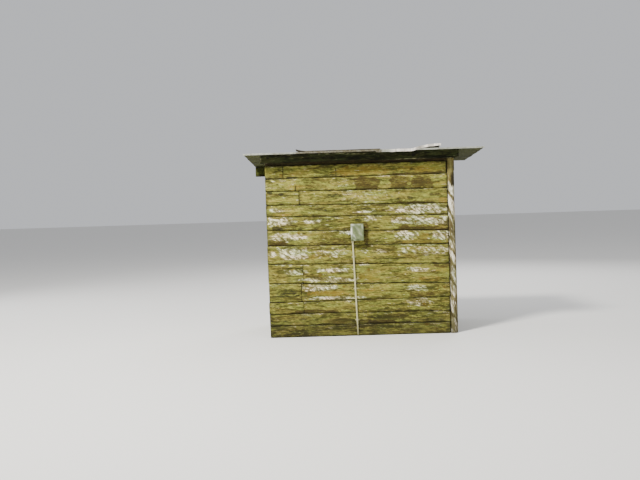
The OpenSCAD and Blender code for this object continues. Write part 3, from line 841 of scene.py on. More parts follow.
class Tree:
    """Short calls that add nodes to one shader tree."""

    def __init__(self, tree: Group) -> None:
        """Work on the given tree."""
        self.tree = tree

    def add(self, kind: str, feeds: dict | None = None, **settings: object) -> bpy.types.Node:
        """Add a node.

        Args:
            kind: Its type.
            feeds: What its inputs get, by their names or numbers.
            settings: Its other settings.

        Returns:
            The node.
        """
        node = self.tree.nodes.new(kind)
        for name, value in settings.items():
            setattr(node, name, value)
        for name, value in (feeds or {}).items():
            self.feed(node.inputs[name], value)
        return node

    def feed(self, socket: Socket, value: Feed) -> None:
        """Link another node's output to a socket, or set its value.

        Args:
            socket: The socket.
            value: The output or the value.
        """
        if isinstance(value, Socket):
            self.tree.links.new(value, socket)
        else:
            socket.default_value = value

    def math(self, operation: str, *values: Feed) -> Socket:
        """Return the result of a sum on one, two or three values."""
        return self.add("ShaderNodeMath", dict(enumerate(values)), operation=operation).outputs[0]

    def times(self, first: Feed, second: Feed) -> Socket:
        """Return one value times another."""
        return self.math("MULTIPLY", first, second)

    def times_plus(self, first: Feed, second: Feed, more: Feed) -> Socket:
        """Return one value times another, plus a third."""
        return self.math("MULTIPLY_ADD", first, second, more)

    def less(self, first: Feed, second: Feed) -> Socket:
        """Return one value less another."""
        return self.math("SUBTRACT", first, second)

    def mix(self, factor: Feed, first: Feed, second: Feed, blend: str = "MIX") -> Socket:
        """Return a blend of two colours."""
        feeds = {0: factor, 6: first, 7: second}
        return self.add("ShaderNodeMix", feeds, data_type="RGBA", blend_type=blend).outputs[2]

    def blend(self, factor: Feed, first: Feed, second: Feed) -> Socket:
        """Return a blend of two numbers."""
        return self.add("ShaderNodeMix", {0: factor, 2: first, 3: second}).outputs[0]

    def stretch(self, vector: Feed, *by: float) -> Socket:
        """Return the vector with each part multiplied by its own number."""
        return self.add("ShaderNodeVectorMath", {0: vector, 1: by}, operation="MULTIPLY").outputs[0]

    def noise(
        self, vector: Feed, scale: float, detail: float, rough: float = 0.5, warp: float = 0.0
    ) -> Socket:
        """Make soft random values of about 0.25 to 0.75.

        Args:
            vector: Where they are read.
            scale: How fine they are.
            detail: Number of finer layers.
            rough: How strong the finer layers are.
            warp: How far the values are swirled.

        Returns:
            The values.
        """
        feeds = {"Vector": vector, "Scale": scale, "Detail": detail, "Roughness": rough}
        return self.add("ShaderNodeTexNoise", {**feeds, "Distortion": warp}).outputs[0]

    def streaks(self, vector: Feed, along: float, across: float, *layers: float) -> Socket:
        """Return noise of two scales, along and across the grain, with its other settings."""
        return self.noise(self.stretch(vector, along, across, across), 1.0, *layers)

    def band(
        self, value: Feed, low: Feed, high: Feed, to_low: float = 0.0, to_high: float = 1.0
    ) -> Socket:
        """Return a smooth step from one value to another."""
        feeds = {0: value, 1: low, 2: high, 3: to_low, 4: to_high}
        return self.add("ShaderNodeMapRange", feeds, interpolation_type="SMOOTHSTEP").outputs[0]

    def parts(self, vector: Feed) -> tuple[Socket, ...]:
        """Return the three parts of a vector."""
        return tuple(self.add("ShaderNodeSeparateXYZ", {0: vector}).outputs)

    def vector(self, *parts: Feed) -> Socket:
        """Return the vector with the given parts."""
        return self.add("ShaderNodeCombineXYZ", dict(enumerate(parts))).outputs[0]

    def mark(self, name: str) -> Socket:
        """Return a mark of the piece's own points."""
        return self.add("ShaderNodeAttribute", attribute_name=name).outputs["Fac"]

    def effect(self, group: Group, **feeds: Feed) -> Sockets:
        """Place a shared effect and return its outputs."""
        return self.add("ShaderNodeGroup", feeds, node_tree=group).outputs


class Effect(Tree):
    """A shared shader group that is being built."""

    def __init__(self, name: str, **takes: float | None) -> None:
        """Begin the group.

        Args:
            name: Name of the group.
            takes: Its inputs with their values, or None for a vector.
        """
        super().__init__(bpy.data.node_groups.new(name, "ShaderNodeTree"))
        for label, value in takes.items():
            kind = "NodeSocketVector" if value is None else "NodeSocketFloat"
            socket = self.tree.interface.new_socket(name=label, in_out="INPUT", socket_type=kind)
            if value is not None:
                socket.default_value = value
        self.takes = self.add("NodeGroupInput").outputs

    def give(self, **values: Socket) -> Group:
        """Finish the group.

        Args:
            values: Its outputs, which are numbers, by name.

        Returns:
            The group.
        """
        for label in values:
            self.tree.interface.new_socket(
                name=label, in_out="OUTPUT", socket_type="NodeSocketFloat")
        self.add("NodeGroupOutput", values)
        return self.tree


@cache
def grain_effect() -> Group:
    """Build sawn grain: growth rings as a saw-tooth of stretched noise, and fine fibres.

    Returns:
        The group.
    """
    tree = Effect("Sawn grain", Vector=None, Rings=9.0)
    vector = tree.takes["Vector"]
    slow = tree.streaks(vector, 0.9, 11, 2.0, 0.55, 0.4)
    phase = tree.math("FRACT", tree.times(slow, tree.takes["Rings"]))
    rings = tree.less(tree.band(phase, 0.35, 0.95), tree.band(phase, 0.96, 1.0))
    fine = tree.streaks(vector, 14, 520, 3.0, 0.65)
    coarse = tree.streaks(vector, 5, 130, 2.0, 0.5)
    fibre = tree.times_plus(coarse, 0.5, tree.times(fine, 0.5))
    bow = tree.vector(tree.streaks(vector, 1.3, 4, 1.0))
    bowed = tree.add("ShaderNodeVectorMath", {0: vector, 1: bow}, operation="ADD").outputs[0]
    saw = tree.streaks(bowed, 210, 3, 1.0)
    height = tree.times_plus(saw, 0.35, tree.times_plus(rings, 0.25, fibre))
    return tree.give(Rings=rings, Fibre=fibre, Height=height)


@cache
def weather_effect() -> Group:
    """Build weather streaks: two sizes of stretched noise, cut to light and dark places.

    Returns:
        The group.
    """
    tree = Effect("Weather streaks", Vector=None)
    vector = tree.takes["Vector"]
    wide = tree.streaks(vector, 3.4, 20, 4.0, 0.62, 0.5)
    thin = tree.streaks(vector, 15, 68, 3.0, 0.7, 0.4)
    tone = tree.times_plus(wide, 0.48, tree.times(thin, 0.52))
    light, dark = tree.band(tone, 0.5, 0.57), tree.band(tone, 0.485, 0.4)
    return tree.give(Light=light, Dark=dark, Tone=tone)


@cache
def scratch_and_shadow_effect() -> Group:
    """Build saw scratches and painted leaf shadows that slant across the grain, broken by small
    blots.

    Returns:
        The group.
    """
    tree = Effect("Slanting scratches and leaf shadows", Vector=None)
    vector = tree.takes["Vector"]
    x, y, _ = tree.parts(vector)
    slant = tree.vector(tree.times(tree.math("ADD", x, y), 24.0), tree.times(tree.less(x, y), 8.0))
    scratch_and_shadow = tree.noise(slant, 1.0, 2.0, 0.6, 0.3)
    blots = tree.streaks(vector, 24, 44, 4.0, 0.7, 1.2)
    value = tree.times_plus(scratch_and_shadow, 0.65, tree.times(blots, 0.35))
    return tree.give(Pale=tree.band(value, 0.42, 0.57))


@cache
def ragged_effect() -> Group:
    """Build a mask whose border is frayed along the grain.

    Returns:
        The group.
    """
    tree = Effect("Frayed mask", Vector=None, Mask=0.0, Fray=1.0, Solid=1.0, Amount=1.0)
    takes = tree.takes
    long_ = tree.streaks(takes["Vector"], 6, 80, 5.0, 0.68)
    blot = tree.streaks(takes["Vector"], 16, 48, 4.0, 0.65, 0.7)
    streak = tree.times_plus(blot, 0.45, tree.times(long_, 0.55))
    fray = tree.times(tree.less(streak, 0.5), takes["Fray"])
    value = tree.times_plus(fray, 3.4, tree.times(takes["Mask"], takes["Solid"]))
    return tree.give(Factor=tree.times(tree.band(value, 0.3, 0.75), takes["Amount"]))


@cache
def bark_effect() -> Group:
    """Build flaky bark: cracked plates and their relief.

    Returns:
        The group.
    """
    tree = Effect("Bark", Vector=None)
    vector = tree.stretch(tree.takes["Vector"], 26, 64, 64)
    cells = {"Vector": vector, "Scale": 1.0, "Randomness": 1.0}
    plates = tree.add("ShaderNodeTexVoronoi", cells, feature="DISTANCE_TO_EDGE").outputs[0]
    crumbs = tree.noise(vector, 2.4, 4.0, 0.65)
    raised = tree.band(plates, 0.0, 0.3)
    tone = tree.times(tree.band(crumbs, 0.3, 0.72), raised)
    return tree.give(Tone=tone, Height=tree.times_plus(crumbs, 0.7, tree.times(raised, 0.5)))


@cache
def dirt_and_shade_effect() -> Group:
    """Build darkening at edges, from dirt and painted shade, and damp that rises from the ground,
    broken by noise.

    Returns:
        The group.
    """
    tree = Effect("Grime", Place=None, Edge=0.0, Amount=1.0, Damp=0.3)
    takes = tree.takes
    blot = tree.noise(takes["Place"], 9.0, 4.0, 0.6)
    fine = tree.noise(takes["Place"], 60.0, 3.0, 0.6)
    broken = tree.times_plus(fine, 0.5, tree.times(blot, 0.9))
    edge = tree.times(takes["Edge"], tree.band(broken, 0.5, 0.85, 0.15, 1.3))
    foot = tree.less(tree.parts(takes["Place"])[2], tree.times(blot, 0.35))
    damp = tree.times(tree.band(foot, 0.25, -0.12), takes["Damp"])
    return tree.give(Factor=tree.times(edge, takes["Amount"]), Damp=damp)


@cache
def rust_effect() -> Group:
    """Build rust in blots with fine pitting.

    Returns:
        The group.
    """
    tree = Effect("Rust", Place=None, Amount=0.5)
    blot = tree.noise(tree.takes["Place"], 16.0, 5.0, 0.65, 0.5)
    pit = tree.noise(tree.takes["Place"], 240.0, 3.0, 0.6)
    low = tree.less(1.0, tree.takes["Amount"])
    factor = tree.band(tree.times_plus(pit, 0.25, blot), low, tree.math("ADD", low, 0.16))
    return tree.give(Factor=factor, Height=pit)


@cache
def zinc_effect() -> Group:
    """Build dull zinc: crystal spangle, chalky bloom and runs down the slope.

    Returns:
        The group.
    """
    tree = Effect("Weathered zinc", Place=None)
    place = tree.takes["Place"]
    cells = tree.add("ShaderNodeTexVoronoi", {"Vector": place, "Scale": 95.0, "Randomness": 1.0})
    tone = tree.add("ShaderNodeSeparateColor", {0: cells.outputs["Color"]}).outputs[0]
    bloom = tree.band(tree.noise(place, 7.0, 5.0, 0.7, 0.8), 0.44, 0.62)
    runs = tree.band(tree.streaks(place, 26, 1.6, 4.0, 0.6), 0.5, 0.68)
    return tree.give(Tone=tone, Bloom=bloom, Runs=runs)


# Finishes


def new_material(name: str) -> tuple[Material, Tree, Sockets, Socket]:
    """Begin a material.

    Args:
        name: Its name.

    Returns:
        The material, short calls on its tree, its shader's inputs and the place on the
        object.
    """
    material = bpy.data.materials.new(name)
    material.use_nodes = True
    tree = Tree(material.node_tree)
    place = tree.add("ShaderNodeTexCoord").outputs["Object"]
    return material, tree, tree.tree.nodes["Principled BSDF"].inputs, place


class GrainFrom(Enum):
    """What the grain of a wood follows."""

    MAP = "the piece's own map"
    X = "the length along X"
    Y = "the length along Y"
    Z = "the height"


@dataclass(frozen=True)
class WoodFinish:
    """A weathered wood, its colours given as the photo shows them.

    Attributes:
        name: Name of the finish.
        pale: Early wood.
        deep: Late wood and darker boards.
        warm: Fresher, orange wood.
        silver: Greyed wood, and painted highlights: lit board edges and sunlit patches.
        bark: Bark that stayed on; on the front wall it also paints the switch box's cast shadow.
        dark: Cracks, dirt, knots and painted shade.
        grain: How strongly the rings show.
        streaks: How strongly light and dark weather streaks show.
        greyed: How far the whole board has greyed.
        grime: How strongly the edges darken, with dirt and painted shade.
        damp: How dark the wood is near the ground.
        relief: Height of the fine grain.
        rough: Roughness.
        shine: How strongly it mirrors light.
        scratch_and_shadow_strength: How strongly slanting scratches and painted leaf shadows show.
        drift: How far its hue wanders between green and pink.
    """

    name: str
    pale: Colour
    deep: Colour
    warm: Colour
    silver: Colour
    bark: Colour
    dark: Colour
    grain: float = 0.5
    streaks: float = 0.8
    greyed: float = 0.0
    grime: float = 0.8
    damp: float = 0.5
    relief: float = 0.9 * MM
    rough: float = 0.86
    shine: float = 0.25
    scratch_and_shadow_strength: float = 1.0
    drift: float = 1.0

    def material(self, source: GrainFrom) -> Material:
        """Make the wood's material.

        The base runs from deep to pale with the board's tone and slow noise, the
        rings and fibres darken it, and the warm, greyed, barked, knotty, damp and
        darkened places, some of them painted light and shade, are laid over it in turn.

        Args:
            source: What the grain follows.

        Returns:
            The material.
        """
        material, tree, shader, place = new_material(f"{self.name}_{source.name.lower()}")
        if source is GrainFrom.MAP:
            vector = tree.add("ShaderNodeUVMap", uv_map=GRAIN_MAP).outputs[0]
        else:
            turned = "XYZ".index(source.name)
            parts = tree.parts(place)
            vector = tree.vector(*parts[turned:], *parts[:turned])
        pale, deep, bark, dark = map(tint, (self.pale, self.deep, self.bark, self.dark))
        grain = tree.effect(grain_effect(), Vector=vector)
        weather = tree.effect(weather_effect(), Vector=vector)
        scratch_and_shadow = tree.less(1.0, tree.effect(scratch_and_shadow_effect(), Vector=vector)["Pale"])
        scratch_and_shadow = tree.times(scratch_and_shadow, self.scratch_and_shadow_strength)

        # Bare wood: tone, rings, weather streaks, scratches with painted leaf shadows, and fibres
        slow = tree.times_plus(tree.streaks(vector, 1.4, 9, 3.0, 0.55), 1.9, -0.68)
        tone = tree.times_plus(tree.mark("tone"), 0.42, slow)
        colour = tree.mix(tree.band(tone, 0.0, 1.0), deep, pale)
        fibres = tree.band(grain["Fibre"], 0.53, 0.4)
        for factor, strength, over in (
            (grain["Rings"], self.grain, deep),
            (weather["Light"], self.streaks, pale),
            (weather["Dark"], self.streaks, deep),
            (scratch_and_shadow, 0.3, deep),
            (fibres, 0.7 * self.grain, dark),
        ):
            colour = tree.mix(tree.times(factor, strength), colour, over)

        # Warm places, and greyed ones, partly painted sunlight, that the scratches, painted leaf
        # shadows and dark streaks break
        warm = tree.band(tree.streaks(vector, 1.1, 6, 2.0), 0.5, 0.7)
        warm = tree.times_plus(warm, 0.28, tree.mark("warm"))
        frayed = {"Vector": vector, "Mask": warm, "Fray": 1.2, "Solid": 0.75, "Amount": 0.55}
        colour = tree.mix(tree.effect(ragged_effect(), **frayed)[0], colour, tint(self.warm))
        grey = tree.math("ADD", tree.mark("silver"), self.greyed)
        frayed = {"Vector": vector, "Mask": grey, "Fray": 1.3, "Solid": 0.78, "Amount": 0.95}
        silver = tree.times(tree.effect(ragged_effect(), **frayed)[0],
                            tree.band(weather["Tone"], 0.4, 0.53, 0.25, 1.0))
        shine = tree.mix(tree.band(weather["Tone"], 0.42, 0.6, 0.3), pale, tint(self.silver))
        shown = tree.times(silver, tree.times_plus(scratch_and_shadow, -0.85, 1.0))
        colour = tree.mix(shown, colour, shine)
        worn = tree.math("MAXIMUM", tree.times(weather["Dark"], 0.6), tree.times(scratch_and_shadow, 0.6))
        colour = tree.mix(tree.times(silver, worn), colour, deep)
        wander = tree.band(tree.streaks(vector, 3.5, 16, 3.0, 0.6), 0.36, 0.64)
        hue = tree.mix(wander, (0.9, 1.0, 0.93, 1.0), (1.0, 0.91, 0.89, 1.0))
        colour = tree.mix(self.drift, colour, hue, "MULTIPLY")

        # Bark, knots with their rings, dark places, dirt and painted shade at the edges, and damp
        plates = tree.effect(bark_effect(), Vector=vector)
        frayed = {"Vector": vector, "Mask": tree.mark("bark"), "Solid": 0.95, "Amount": 0.88}
        barked = tree.effect(ragged_effect(), **frayed)[0]
        flaked = tree.times(barked, tree.band(weather["Tone"], 0.6, 0.48, 0.72, 1.0))
        deep_bark = tint(tuple(round(0.55 * part) for part in self.bark))
        colour = tree.mix(flaked, colour, tree.mix(plates["Tone"], deep_bark, bark))
        knot = tree.mark("knot")
        turns = tree.times_plus(tree.math("SINE", tree.times(knot, 34.0)), 0.18, knot)
        colour = tree.mix(tree.band(turns, 0.12, 0.75, 0.0, 0.85), colour, bark)
        frayed = {"Vector": vector, "Mask": tree.mark("dark"), "Amount": 0.8}
        colour = tree.mix(tree.effect(ragged_effect(), **frayed)[0], colour, dark)
        grime = tree.effect(
            dirt_and_shade_effect(), Place=place, Edge=tree.mark("edge"), Amount=self.grime, Damp=self.damp)
        colour = tree.mix(grime["Factor"], colour, dark)
        colour = tree.mix(grime["Damp"], colour, dark)
        height = tree.blend(barked, grain["Height"], tree.times(plates["Height"], 2.2))
        bump = {"Strength": 0.9, "Distance": self.relief, "Height": height}
        for name, value in (
            ("Base Color", colour),
            ("Roughness", self.rough),
            ("Specular IOR Level", self.shine),
            ("Normal", tree.add("ShaderNodeBump", bump).outputs[0]),
        ):
            tree.feed(shader[name], value)
        return material


@dataclass(frozen=True)
class MetalFinish:
    """A bare or painted metal.

    Attributes:
        name: Name of the finish.
        base: Main colour.
        bloom: Chalky or faded places.
        dirt: Runs and dirt, and painted shade on the switch box's cover.
        pale: Places that are worn or washed pale, and painted highlights on the switch box's cover.
        rust: Rust.
        metallic: 1 for bare metal and 0 for paint.
        rough: Roughness.
        rusted: How much has rusted, from 0 to 1.
        spangle: How strongly zinc crystals show.
        size: Scale of the blots.
    """

    name: str
    base: Colour
    bloom: Colour
    dirt: Colour
    pale: Colour = (228, 226, 214)
    rust: Colour = (86, 66, 44)
    metallic: float = 1.0
    rough: float = 0.5
    rusted: float = 0.3
    spangle: float = 0.5
    size: float = 1.0

    def material(self) -> Material:
        """Make the metal's material: spangle, bloom, runs and rust over the base.

        Returns:
            The material.
        """
        material, tree, shader, place = new_material(self.name)
        sized = tree.stretch(place, self.size, self.size, self.size)
        zinc = tree.effect(zinc_effect(), Place=sized)
        rust = tree.effect(rust_effect(), Place=sized, Amount=self.rusted)
        blot = tree.band(tree.noise(sized, 38.0, 4.0, 0.65), 0.3, 0.6, 0.6, 1.0)
        colour = tint(self.base)
        for factor, strength, over in (
            (zinc["Tone"], self.spangle, self.bloom),
            (zinc["Bloom"], 0.6, self.bloom),
            (tree.mark("silver"), 1.0, self.pale),
            (zinc["Runs"], 0.45, self.dirt),
            (tree.mark("dark"), blot, self.dirt),
            (rust["Factor"], 1.0, self.rust),
        ):
            colour = tree.mix(tree.times(factor, strength), colour, tint(over))
        clean = tree.less(1.0, rust["Factor"])
        dull = tree.times_plus(zinc["Bloom"], 0.18, self.rough)
        chalk = tree.times(zinc["Bloom"], 0.2)
        height = tree.times_plus(rust["Height"], rust["Factor"], chalk)
        bump = {"Strength": 0.5, "Distance": 0.4 * MM, "Height": height}
        metallic = tree.times(clean, self.metallic) if self.metallic > 0 else 0.0
        for name, value in (
            ("Base Color", colour),
            ("Metallic", metallic),
            ("Roughness", tree.blend(rust["Factor"], dull, 0.92)),
            ("Normal", tree.add("ShaderNodeBump", bump).outputs[0]),
        ):
            tree.feed(shader[name], value)
        return material


SIDING = WoodFinish("siding_wood", (152, 149, 68), (58, 54, 10), (136, 114, 36), (255, 246, 218),
                    (94, 77, 22), (22, 20, 5), streaks=0.95, greyed=0.05)
# The frame wood is darkened to paint the shade in the gap under the eaves and in the gap beside the
# corner pole.
SHADE_DARK_FRAME_WOOD = WoodFinish("frame_wood", (76, 67, 37), (49, 41, 21), (80, 60, 29), (106, 98, 72),
                        (43, 32, 17), (21, 15, 7), greyed=0.1, damp=0.6)
FLOOR_WOOD = WoodFinish("floor_wood", (118, 102, 70), (82, 67, 39), (116, 87, 49), (160, 150, 122),
                        (58, 45, 23), (32, 25, 14), greyed=0.15)
# The deck wood takes the colours of the roof's underside in shade: painted shade on the deck boards
# and the back eaves board.
SHADE_DARK_DECK_WOOD = WoodFinish("deck_wood", (80, 84, 28), (48, 50, 10), (82, 72, 20), (112, 112, 58),
                       (41, 34, 10), (21, 19, 5), grain=0.4, greyed=0.1)
PLANK_WOOD = WoodFinish("plank_wood", (128, 118, 94), (87, 75, 51), (115, 91, 58), (196, 188, 168),
                        (67, 52, 32), (39, 32, 21), greyed=0.35)
DOOR_WOOD = WoodFinish("door_wood", (144, 136, 74), (70, 62, 20), (130, 104, 40), (214, 206, 178),
                       (74, 60, 22), (26, 22, 8), greyed=0.1)
POLE_WOOD = WoodFinish("pole_wood", (161, 154, 106), (82, 73, 41), (116, 104, 48), (255, 248, 232),
                       (70, 58, 23), (29, 23, 8), grain=0.3, streaks=0.5, greyed=0.0,
                       relief=0.7 * MM, scratch_and_shadow_strength=0.25, drift=0.6)
BLACK_BOARD = WoodFinish("black_board", (33, 36, 16), (7, 7, 3), (33, 26, 10), (112, 110, 82),
                         (10, 9, 5), (3, 3, 2), grain=0.4, streaks=0.85, grime=0.3, damp=0.0,
                         rough=0.85, shine=0.05, scratch_and_shadow_strength=0.2)
END_WOOD = WoodFinish("end_grain", (107, 96, 60), (69, 56, 30), (100, 76, 41), (168, 158, 130),
                      (54, 43, 22), (29, 23, 11), grain=0.4, greyed=0.1)
ZINC_SHEET = MetalFinish("roofing_metal", (140, 142, 131), (166, 167, 155), (82, 76, 56),
                         (240, 232, 222), metallic=0.45, rough=0.55, rusted=0.22)
# The box paint's pale and dirt colours also paint the cover's highlights and shade.
BOX_PAINT = MetalFinish("box_enamel", (94, 106, 65), (123, 133, 92), (48, 58, 23), (250, 252, 236),
                        metallic=0.0, rough=0.42, rusted=0.25, spangle=0.12, size=3.0)
LEVER_PAINT = MetalFinish("lever_metal", (188, 188, 181), (209, 209, 201), (100, 100, 91),
                          metallic=0.2, rough=0.4, rusted=0.26, spangle=0.1, size=5.0)
TUBE_ZINC = MetalFinish("conduit_metal", (172, 168, 122), (192, 186, 146), (112, 108, 72),
                        metallic=0.1, rough=0.45, rusted=0.26, spangle=0.3, size=3.0)
IRON = MetalFinish("hinge_iron", (42, 37, 27), (64, 52, 34), (27, 22, 15), (64, 52, 34),
                   (56, 46, 24), metallic=0.3, rough=0.7, rusted=0.5, spangle=0.2, size=2.0)
NAIL_IRON = MetalFinish("nail_iron", (58, 48, 37), (80, 69, 54), (36, 29, 22), (80, 69, 54),
                        (60, 45, 29), metallic=0.5, rough=0.6, rusted=0.5, spangle=0.2, size=4.0)


@cache
def wood(finish: WoodFinish, source: GrainFrom = GrainFrom.MAP) -> Material:
    """Return the one material of a wood finish and a grain source."""
    return finish.material(source)


@cache
def metal(finish: MetalFinish) -> Material:
    """Return the one material of a metal finish."""
    return finish.material()


# Sub-assemblies

# Patches of the front wall: course from the ground, left and right end in metres
# from the wall's left end, lower and upper edge as shares of the board, strength
FRONT_PATCHES: dict[Mark, Rows] = {
    Mark.BARK: (
        (10, 0.51, 0.79, 0.10, 0.96, 0.5), (10, 1.12, 1.41, 0.04, 0.98),
        (10, 1.55, 1.79, 0.04, 0.88), (10, 1.81, 2.09, 0.02, 0.84),
        (7, 0.68, 1.04, 0.42, 0.74, 0.5), (7, 1.60, 2.28, -0.05, 0.26),
        (6, 0.64, 1.05, -0.05, 0.24, 0.8), (6, 0.01, 0.26, -0.05, 0.26, 0.6),
        (5, 1.64, 2.08, 0.30, 0.60, 0.5), (4, 2.07, 2.27, 0.82, 1.05, 0.8),
        (3, 1.73, 2.08, 0.06, 0.38, 0.7), (9, 1.60, 2.10, -0.05, 0.12, 0.7),
        (5, 0.55, 0.85, 0.06, 0.30, 0.5), (2, 0.30, 0.80, -0.05, 0.3, 0.8),
        (1, 1.2, 1.6, -0.05, 0.35, 0.8), (11, 1.62, 2.28, 0.00, 0.20, 0.7),
        # Painted shadow: these last three bark patches, below and right of the switch box, are its
        # cast shadow in the bark colour.
        (5, 1.12, 1.30, 0.78, 1.1, 0.6), (6, 1.205, 1.272, 0.0, 1.15, 0.75),
        (7, 1.205, 1.272, -0.2, 0.5, 0.75),
    ),
    # Painted light: the silver patches are partly greyed wood and partly painted pools of sunlight.
    Mark.SILVER: (
        (10, 0.01, 0.36, 0.07, 0.97, 0.25), (10, 0.80, 1.11, 0.19, 0.96, 0.3),
        (9, 0.87, 1.50, 0.09, 0.95, 0.35), (8, 0.04, 0.24, 0.41, 0.76), (8, 1.10, 1.36, 0.25, 0.47),
        (8, 1.56, 2.28, 0.12, 0.88, 0.95), (7, 0.00, 0.34, 0.36, 0.89), (7, 0.46, 0.68, 0.53, 0.82),
        (7, 1.56, 2.28, 0.42, 0.88, 1.2), (6, 0.00, 0.50, 0.32, 0.82, 0.9),
        (6, 1.62, 1.87, 0.32, 0.95, 1.3), (6, 2.04, 2.28, 0.33, 0.95, 1.4),
        (6, 0.90, 1.08, 0.72, 1.02), (5, 0.00, 0.12, 0.38, 0.72), (5, 0.12, 0.52, 0.25, 0.85, 1.4),
        (4, 0.19, 0.45, 0.47, 0.73), (4, 0.62, 1.06, 0.59, 0.82, 1.2),
        (4, 0.44, 1.12, 0.10, 0.31, 1.6), (4, 1.72, 2.05, 0.61, 0.82),
        (3, 0.43, 0.84, 0.58, 0.97, 1.3), (3, 0.49, 1.10, 0.07, 0.26, 1.5),
        (3, 1.73, 2.00, 0.44, 0.86, 0.85), (2, 1.70, 2.04, 0.45, 1.00, 0.6),
        (7, 1.18, 1.40, 0.60, 0.95, 0.6), (5, 1.15, 1.6, 0.55, 0.8, 0.5),
        (5, 0.52, 1.02, 0.35, 0.85, 0.55), (5, 1.66, 2.27, 0.40, 0.95, 0.6),
    ),
    Mark.WARM: (
        (11, 0.88, 1.60, 0.06, 0.75, 0.9), (9, 2.15, 2.27, 0.00, 0.37), (8, 0.03, 0.42, 0.09, 0.26),
        (7, 2.06, 2.27, 0.05, 0.36, 0.5), (6, 1.87, 2.06, 0.31, 0.83, 0.8),
        (6, 1.65, 2.27, 0.00, 0.27, 0.8), (5, 0.51, 0.84, 0.18, 0.62, 0.7),
        (5, 1.65, 2.27, 0.55, 0.90, 0.9), (4, 2.07, 2.27, 0.55, 0.78),
        (4, 1.77, 2.27, 0.03, 0.39, 0.6), (3, 0.44, 1.05, 0.29, 0.59, 0.9),
        (5, 1.15, 1.35, 0.1, 0.5, 0.7), (4, 1.12, 1.4, 0.1, 0.45, 0.7),
        (3, 1.1, 1.35, 0.4, 0.7, 0.8), (11, 0.25, 0.6, 0.0, 0.6, 0.5),
        (10, 0.26, 0.48, 0.0, 0.55, 0.8), (10, 2.08, 2.28, 0.0, 0.45, 0.7),
        (11, 1.62, 2.28, 0.1, 0.7, 0.9),
    ),
    Mark.DARK: (
        (11, 0.26, 0.44, 0.00, 0.14), (11, 1.76, 1.90, 0.27, 0.55, 0.7),
        (9, 0.02, 0.10, 0.70, 1.00, 0.8), (9, 0.16, 0.25, 0.65, 0.95, 0.8),
        (9, 0.72, 0.95, 0.40, 0.80, 0.7), (9, 2.00, 2.22, 0.44, 0.78, 0.7),
        (8, 0.56, 0.86, 0.43, 0.88, 0.5), (8, 1.14, 1.32, 0.52, 0.85, 0.6),
        (7, 0.06, 0.19, -0.10, 0.30), (3, 0.44, 1.05, 0.93, 1.02, 0.7),
        (5, 1.3, 1.5, 0.15, 0.45, 0.5), (1, 0.2, 0.5, 0.3, 0.8, 0.5),
        # Painted shadow: the first patch of the next line darkens the top of the highest course
        # under the eaves.
        (11, 0.30, 2.30, 0.84, 1.10, 0.5), (7, 1.09, 1.19, 0.5, 0.95, 0.6),
        (9, 1.60, 2.28, 0.0, 1.0, 0.25), (9, 1.62, 1.90, 0.3, 0.5, 0.6),
        (3, 0.02, 0.40, 0.3, 0.8, 0.5), (11, 0.878, 0.898, 0.05, 0.8, 0.6),
        (10, 0.366, 0.390, -0.1, 0.5, 0.9), (3, -0.05, 0.50, 0.29, 0.37, 1.0),
    ),
}


@dataclass
class Wall:
    """A wall of weathered boards, nailed to the frame.

    Attributes:
        name: Name of its pieces.
        nodes: CAD nodes of its plain boards.
        axes: Directions of its boards.
        supports: CAD nodes that the boards are nailed to.
        seed: Seed of the wall.
        sawn: How the boards were sawn.
        pieces: Number of pieces that the wall is split into.
        patches: Patches read from the photo, or None.
        tones: How pale each course is, from the ground up, or none.
        nail: Radius of a nail head.
        reach: How far the boards that end near the corner reach on towards it.
        near: How near to the corner those end.
    """

    name: str
    nodes: tuple[str, ...]
    axes: Axes
    supports: tuple[str, ...]
    seed: int
    sawn: Sawn = Sawn()
    pieces: int = 1
    patches: dict[Mark, Rows] | None = None
    tones: tuple[float, ...] = ()
    nail: float = 4.5 * MM
    reach: float = 0.0
    near: float = 200 * MM

    def build(self, nodes: Nodes) -> None:
        """Carve all the boards, make the wall's pieces and drive their nails.

        Args:
            nodes: The CAD nodes.
        """
        solids = [solid for name in self.nodes for solid in solids_of(nodes[name])]
        outlines = [outline_of(solid, self.axes) for solid in solids]
        outlines.sort(key=lambda o: (o.low.mean() + o.top.mean()) / 2)
        zero, last = min(o.at[0] for o in outlines), max(o.at[-1] for o in outlines)
        boards = []
        for k, (outline, course) in enumerate(zip(outlines, self.courses(outlines))):
            if outline.at[-1] > last - self.near:
                outline.at[-1] += self.reach
            own = None
            if self.patches is not None:
                own = [Patch(mark, *row) for mark, rows in self.patches.items()
                       for row in rows if row[0] == course]
            tone = self.tones[course] if self.tones else None
            sawn = self.sawn if course else replace(self.sawn, swell=0.0)
            seed = self.seed + BOARD_SEEDS * k
            boards.append(carve(outline, self.axes, sawn, seed, own, zero, tone))
        share = math.ceil(len(boards) / self.pieces)
        for part in range(self.pieces):
            name = self.name if self.pieces == 1 else f"{self.name}_{part + 1}"
            chosen = boards[part * share:(part + 1) * share]
            make_piece(name, chosen, wood(SIDING), self.nodes, wood(END_WOOD))
        spots = nail_spots(outlines, self.axes, [nodes[name] for name in self.supports], self.seed)
        nails = domes(spots, self.axes.outward, self.nail, NAIL_HIGH)
        make_piece(f"{self.name}_nails", [nails], metal(NAIL_IRON))

    def courses(self, outlines: list[Outline]) -> Array:
        """Number the boards' courses: a new one begins where the middle height jumps.

        Args:
            outlines: The boards, the lowest first.

        Returns:
            The course of each board, from 0 at the ground.
        """
        middle = np.array([(o.low.mean() + o.top.mean()) / 2 for o in outlines])
        jump = 0.4 * (outlines[0].top.mean() - outlines[0].low.mean())
        return np.concatenate([[0], np.cumsum(np.diff(middle) > jump)])


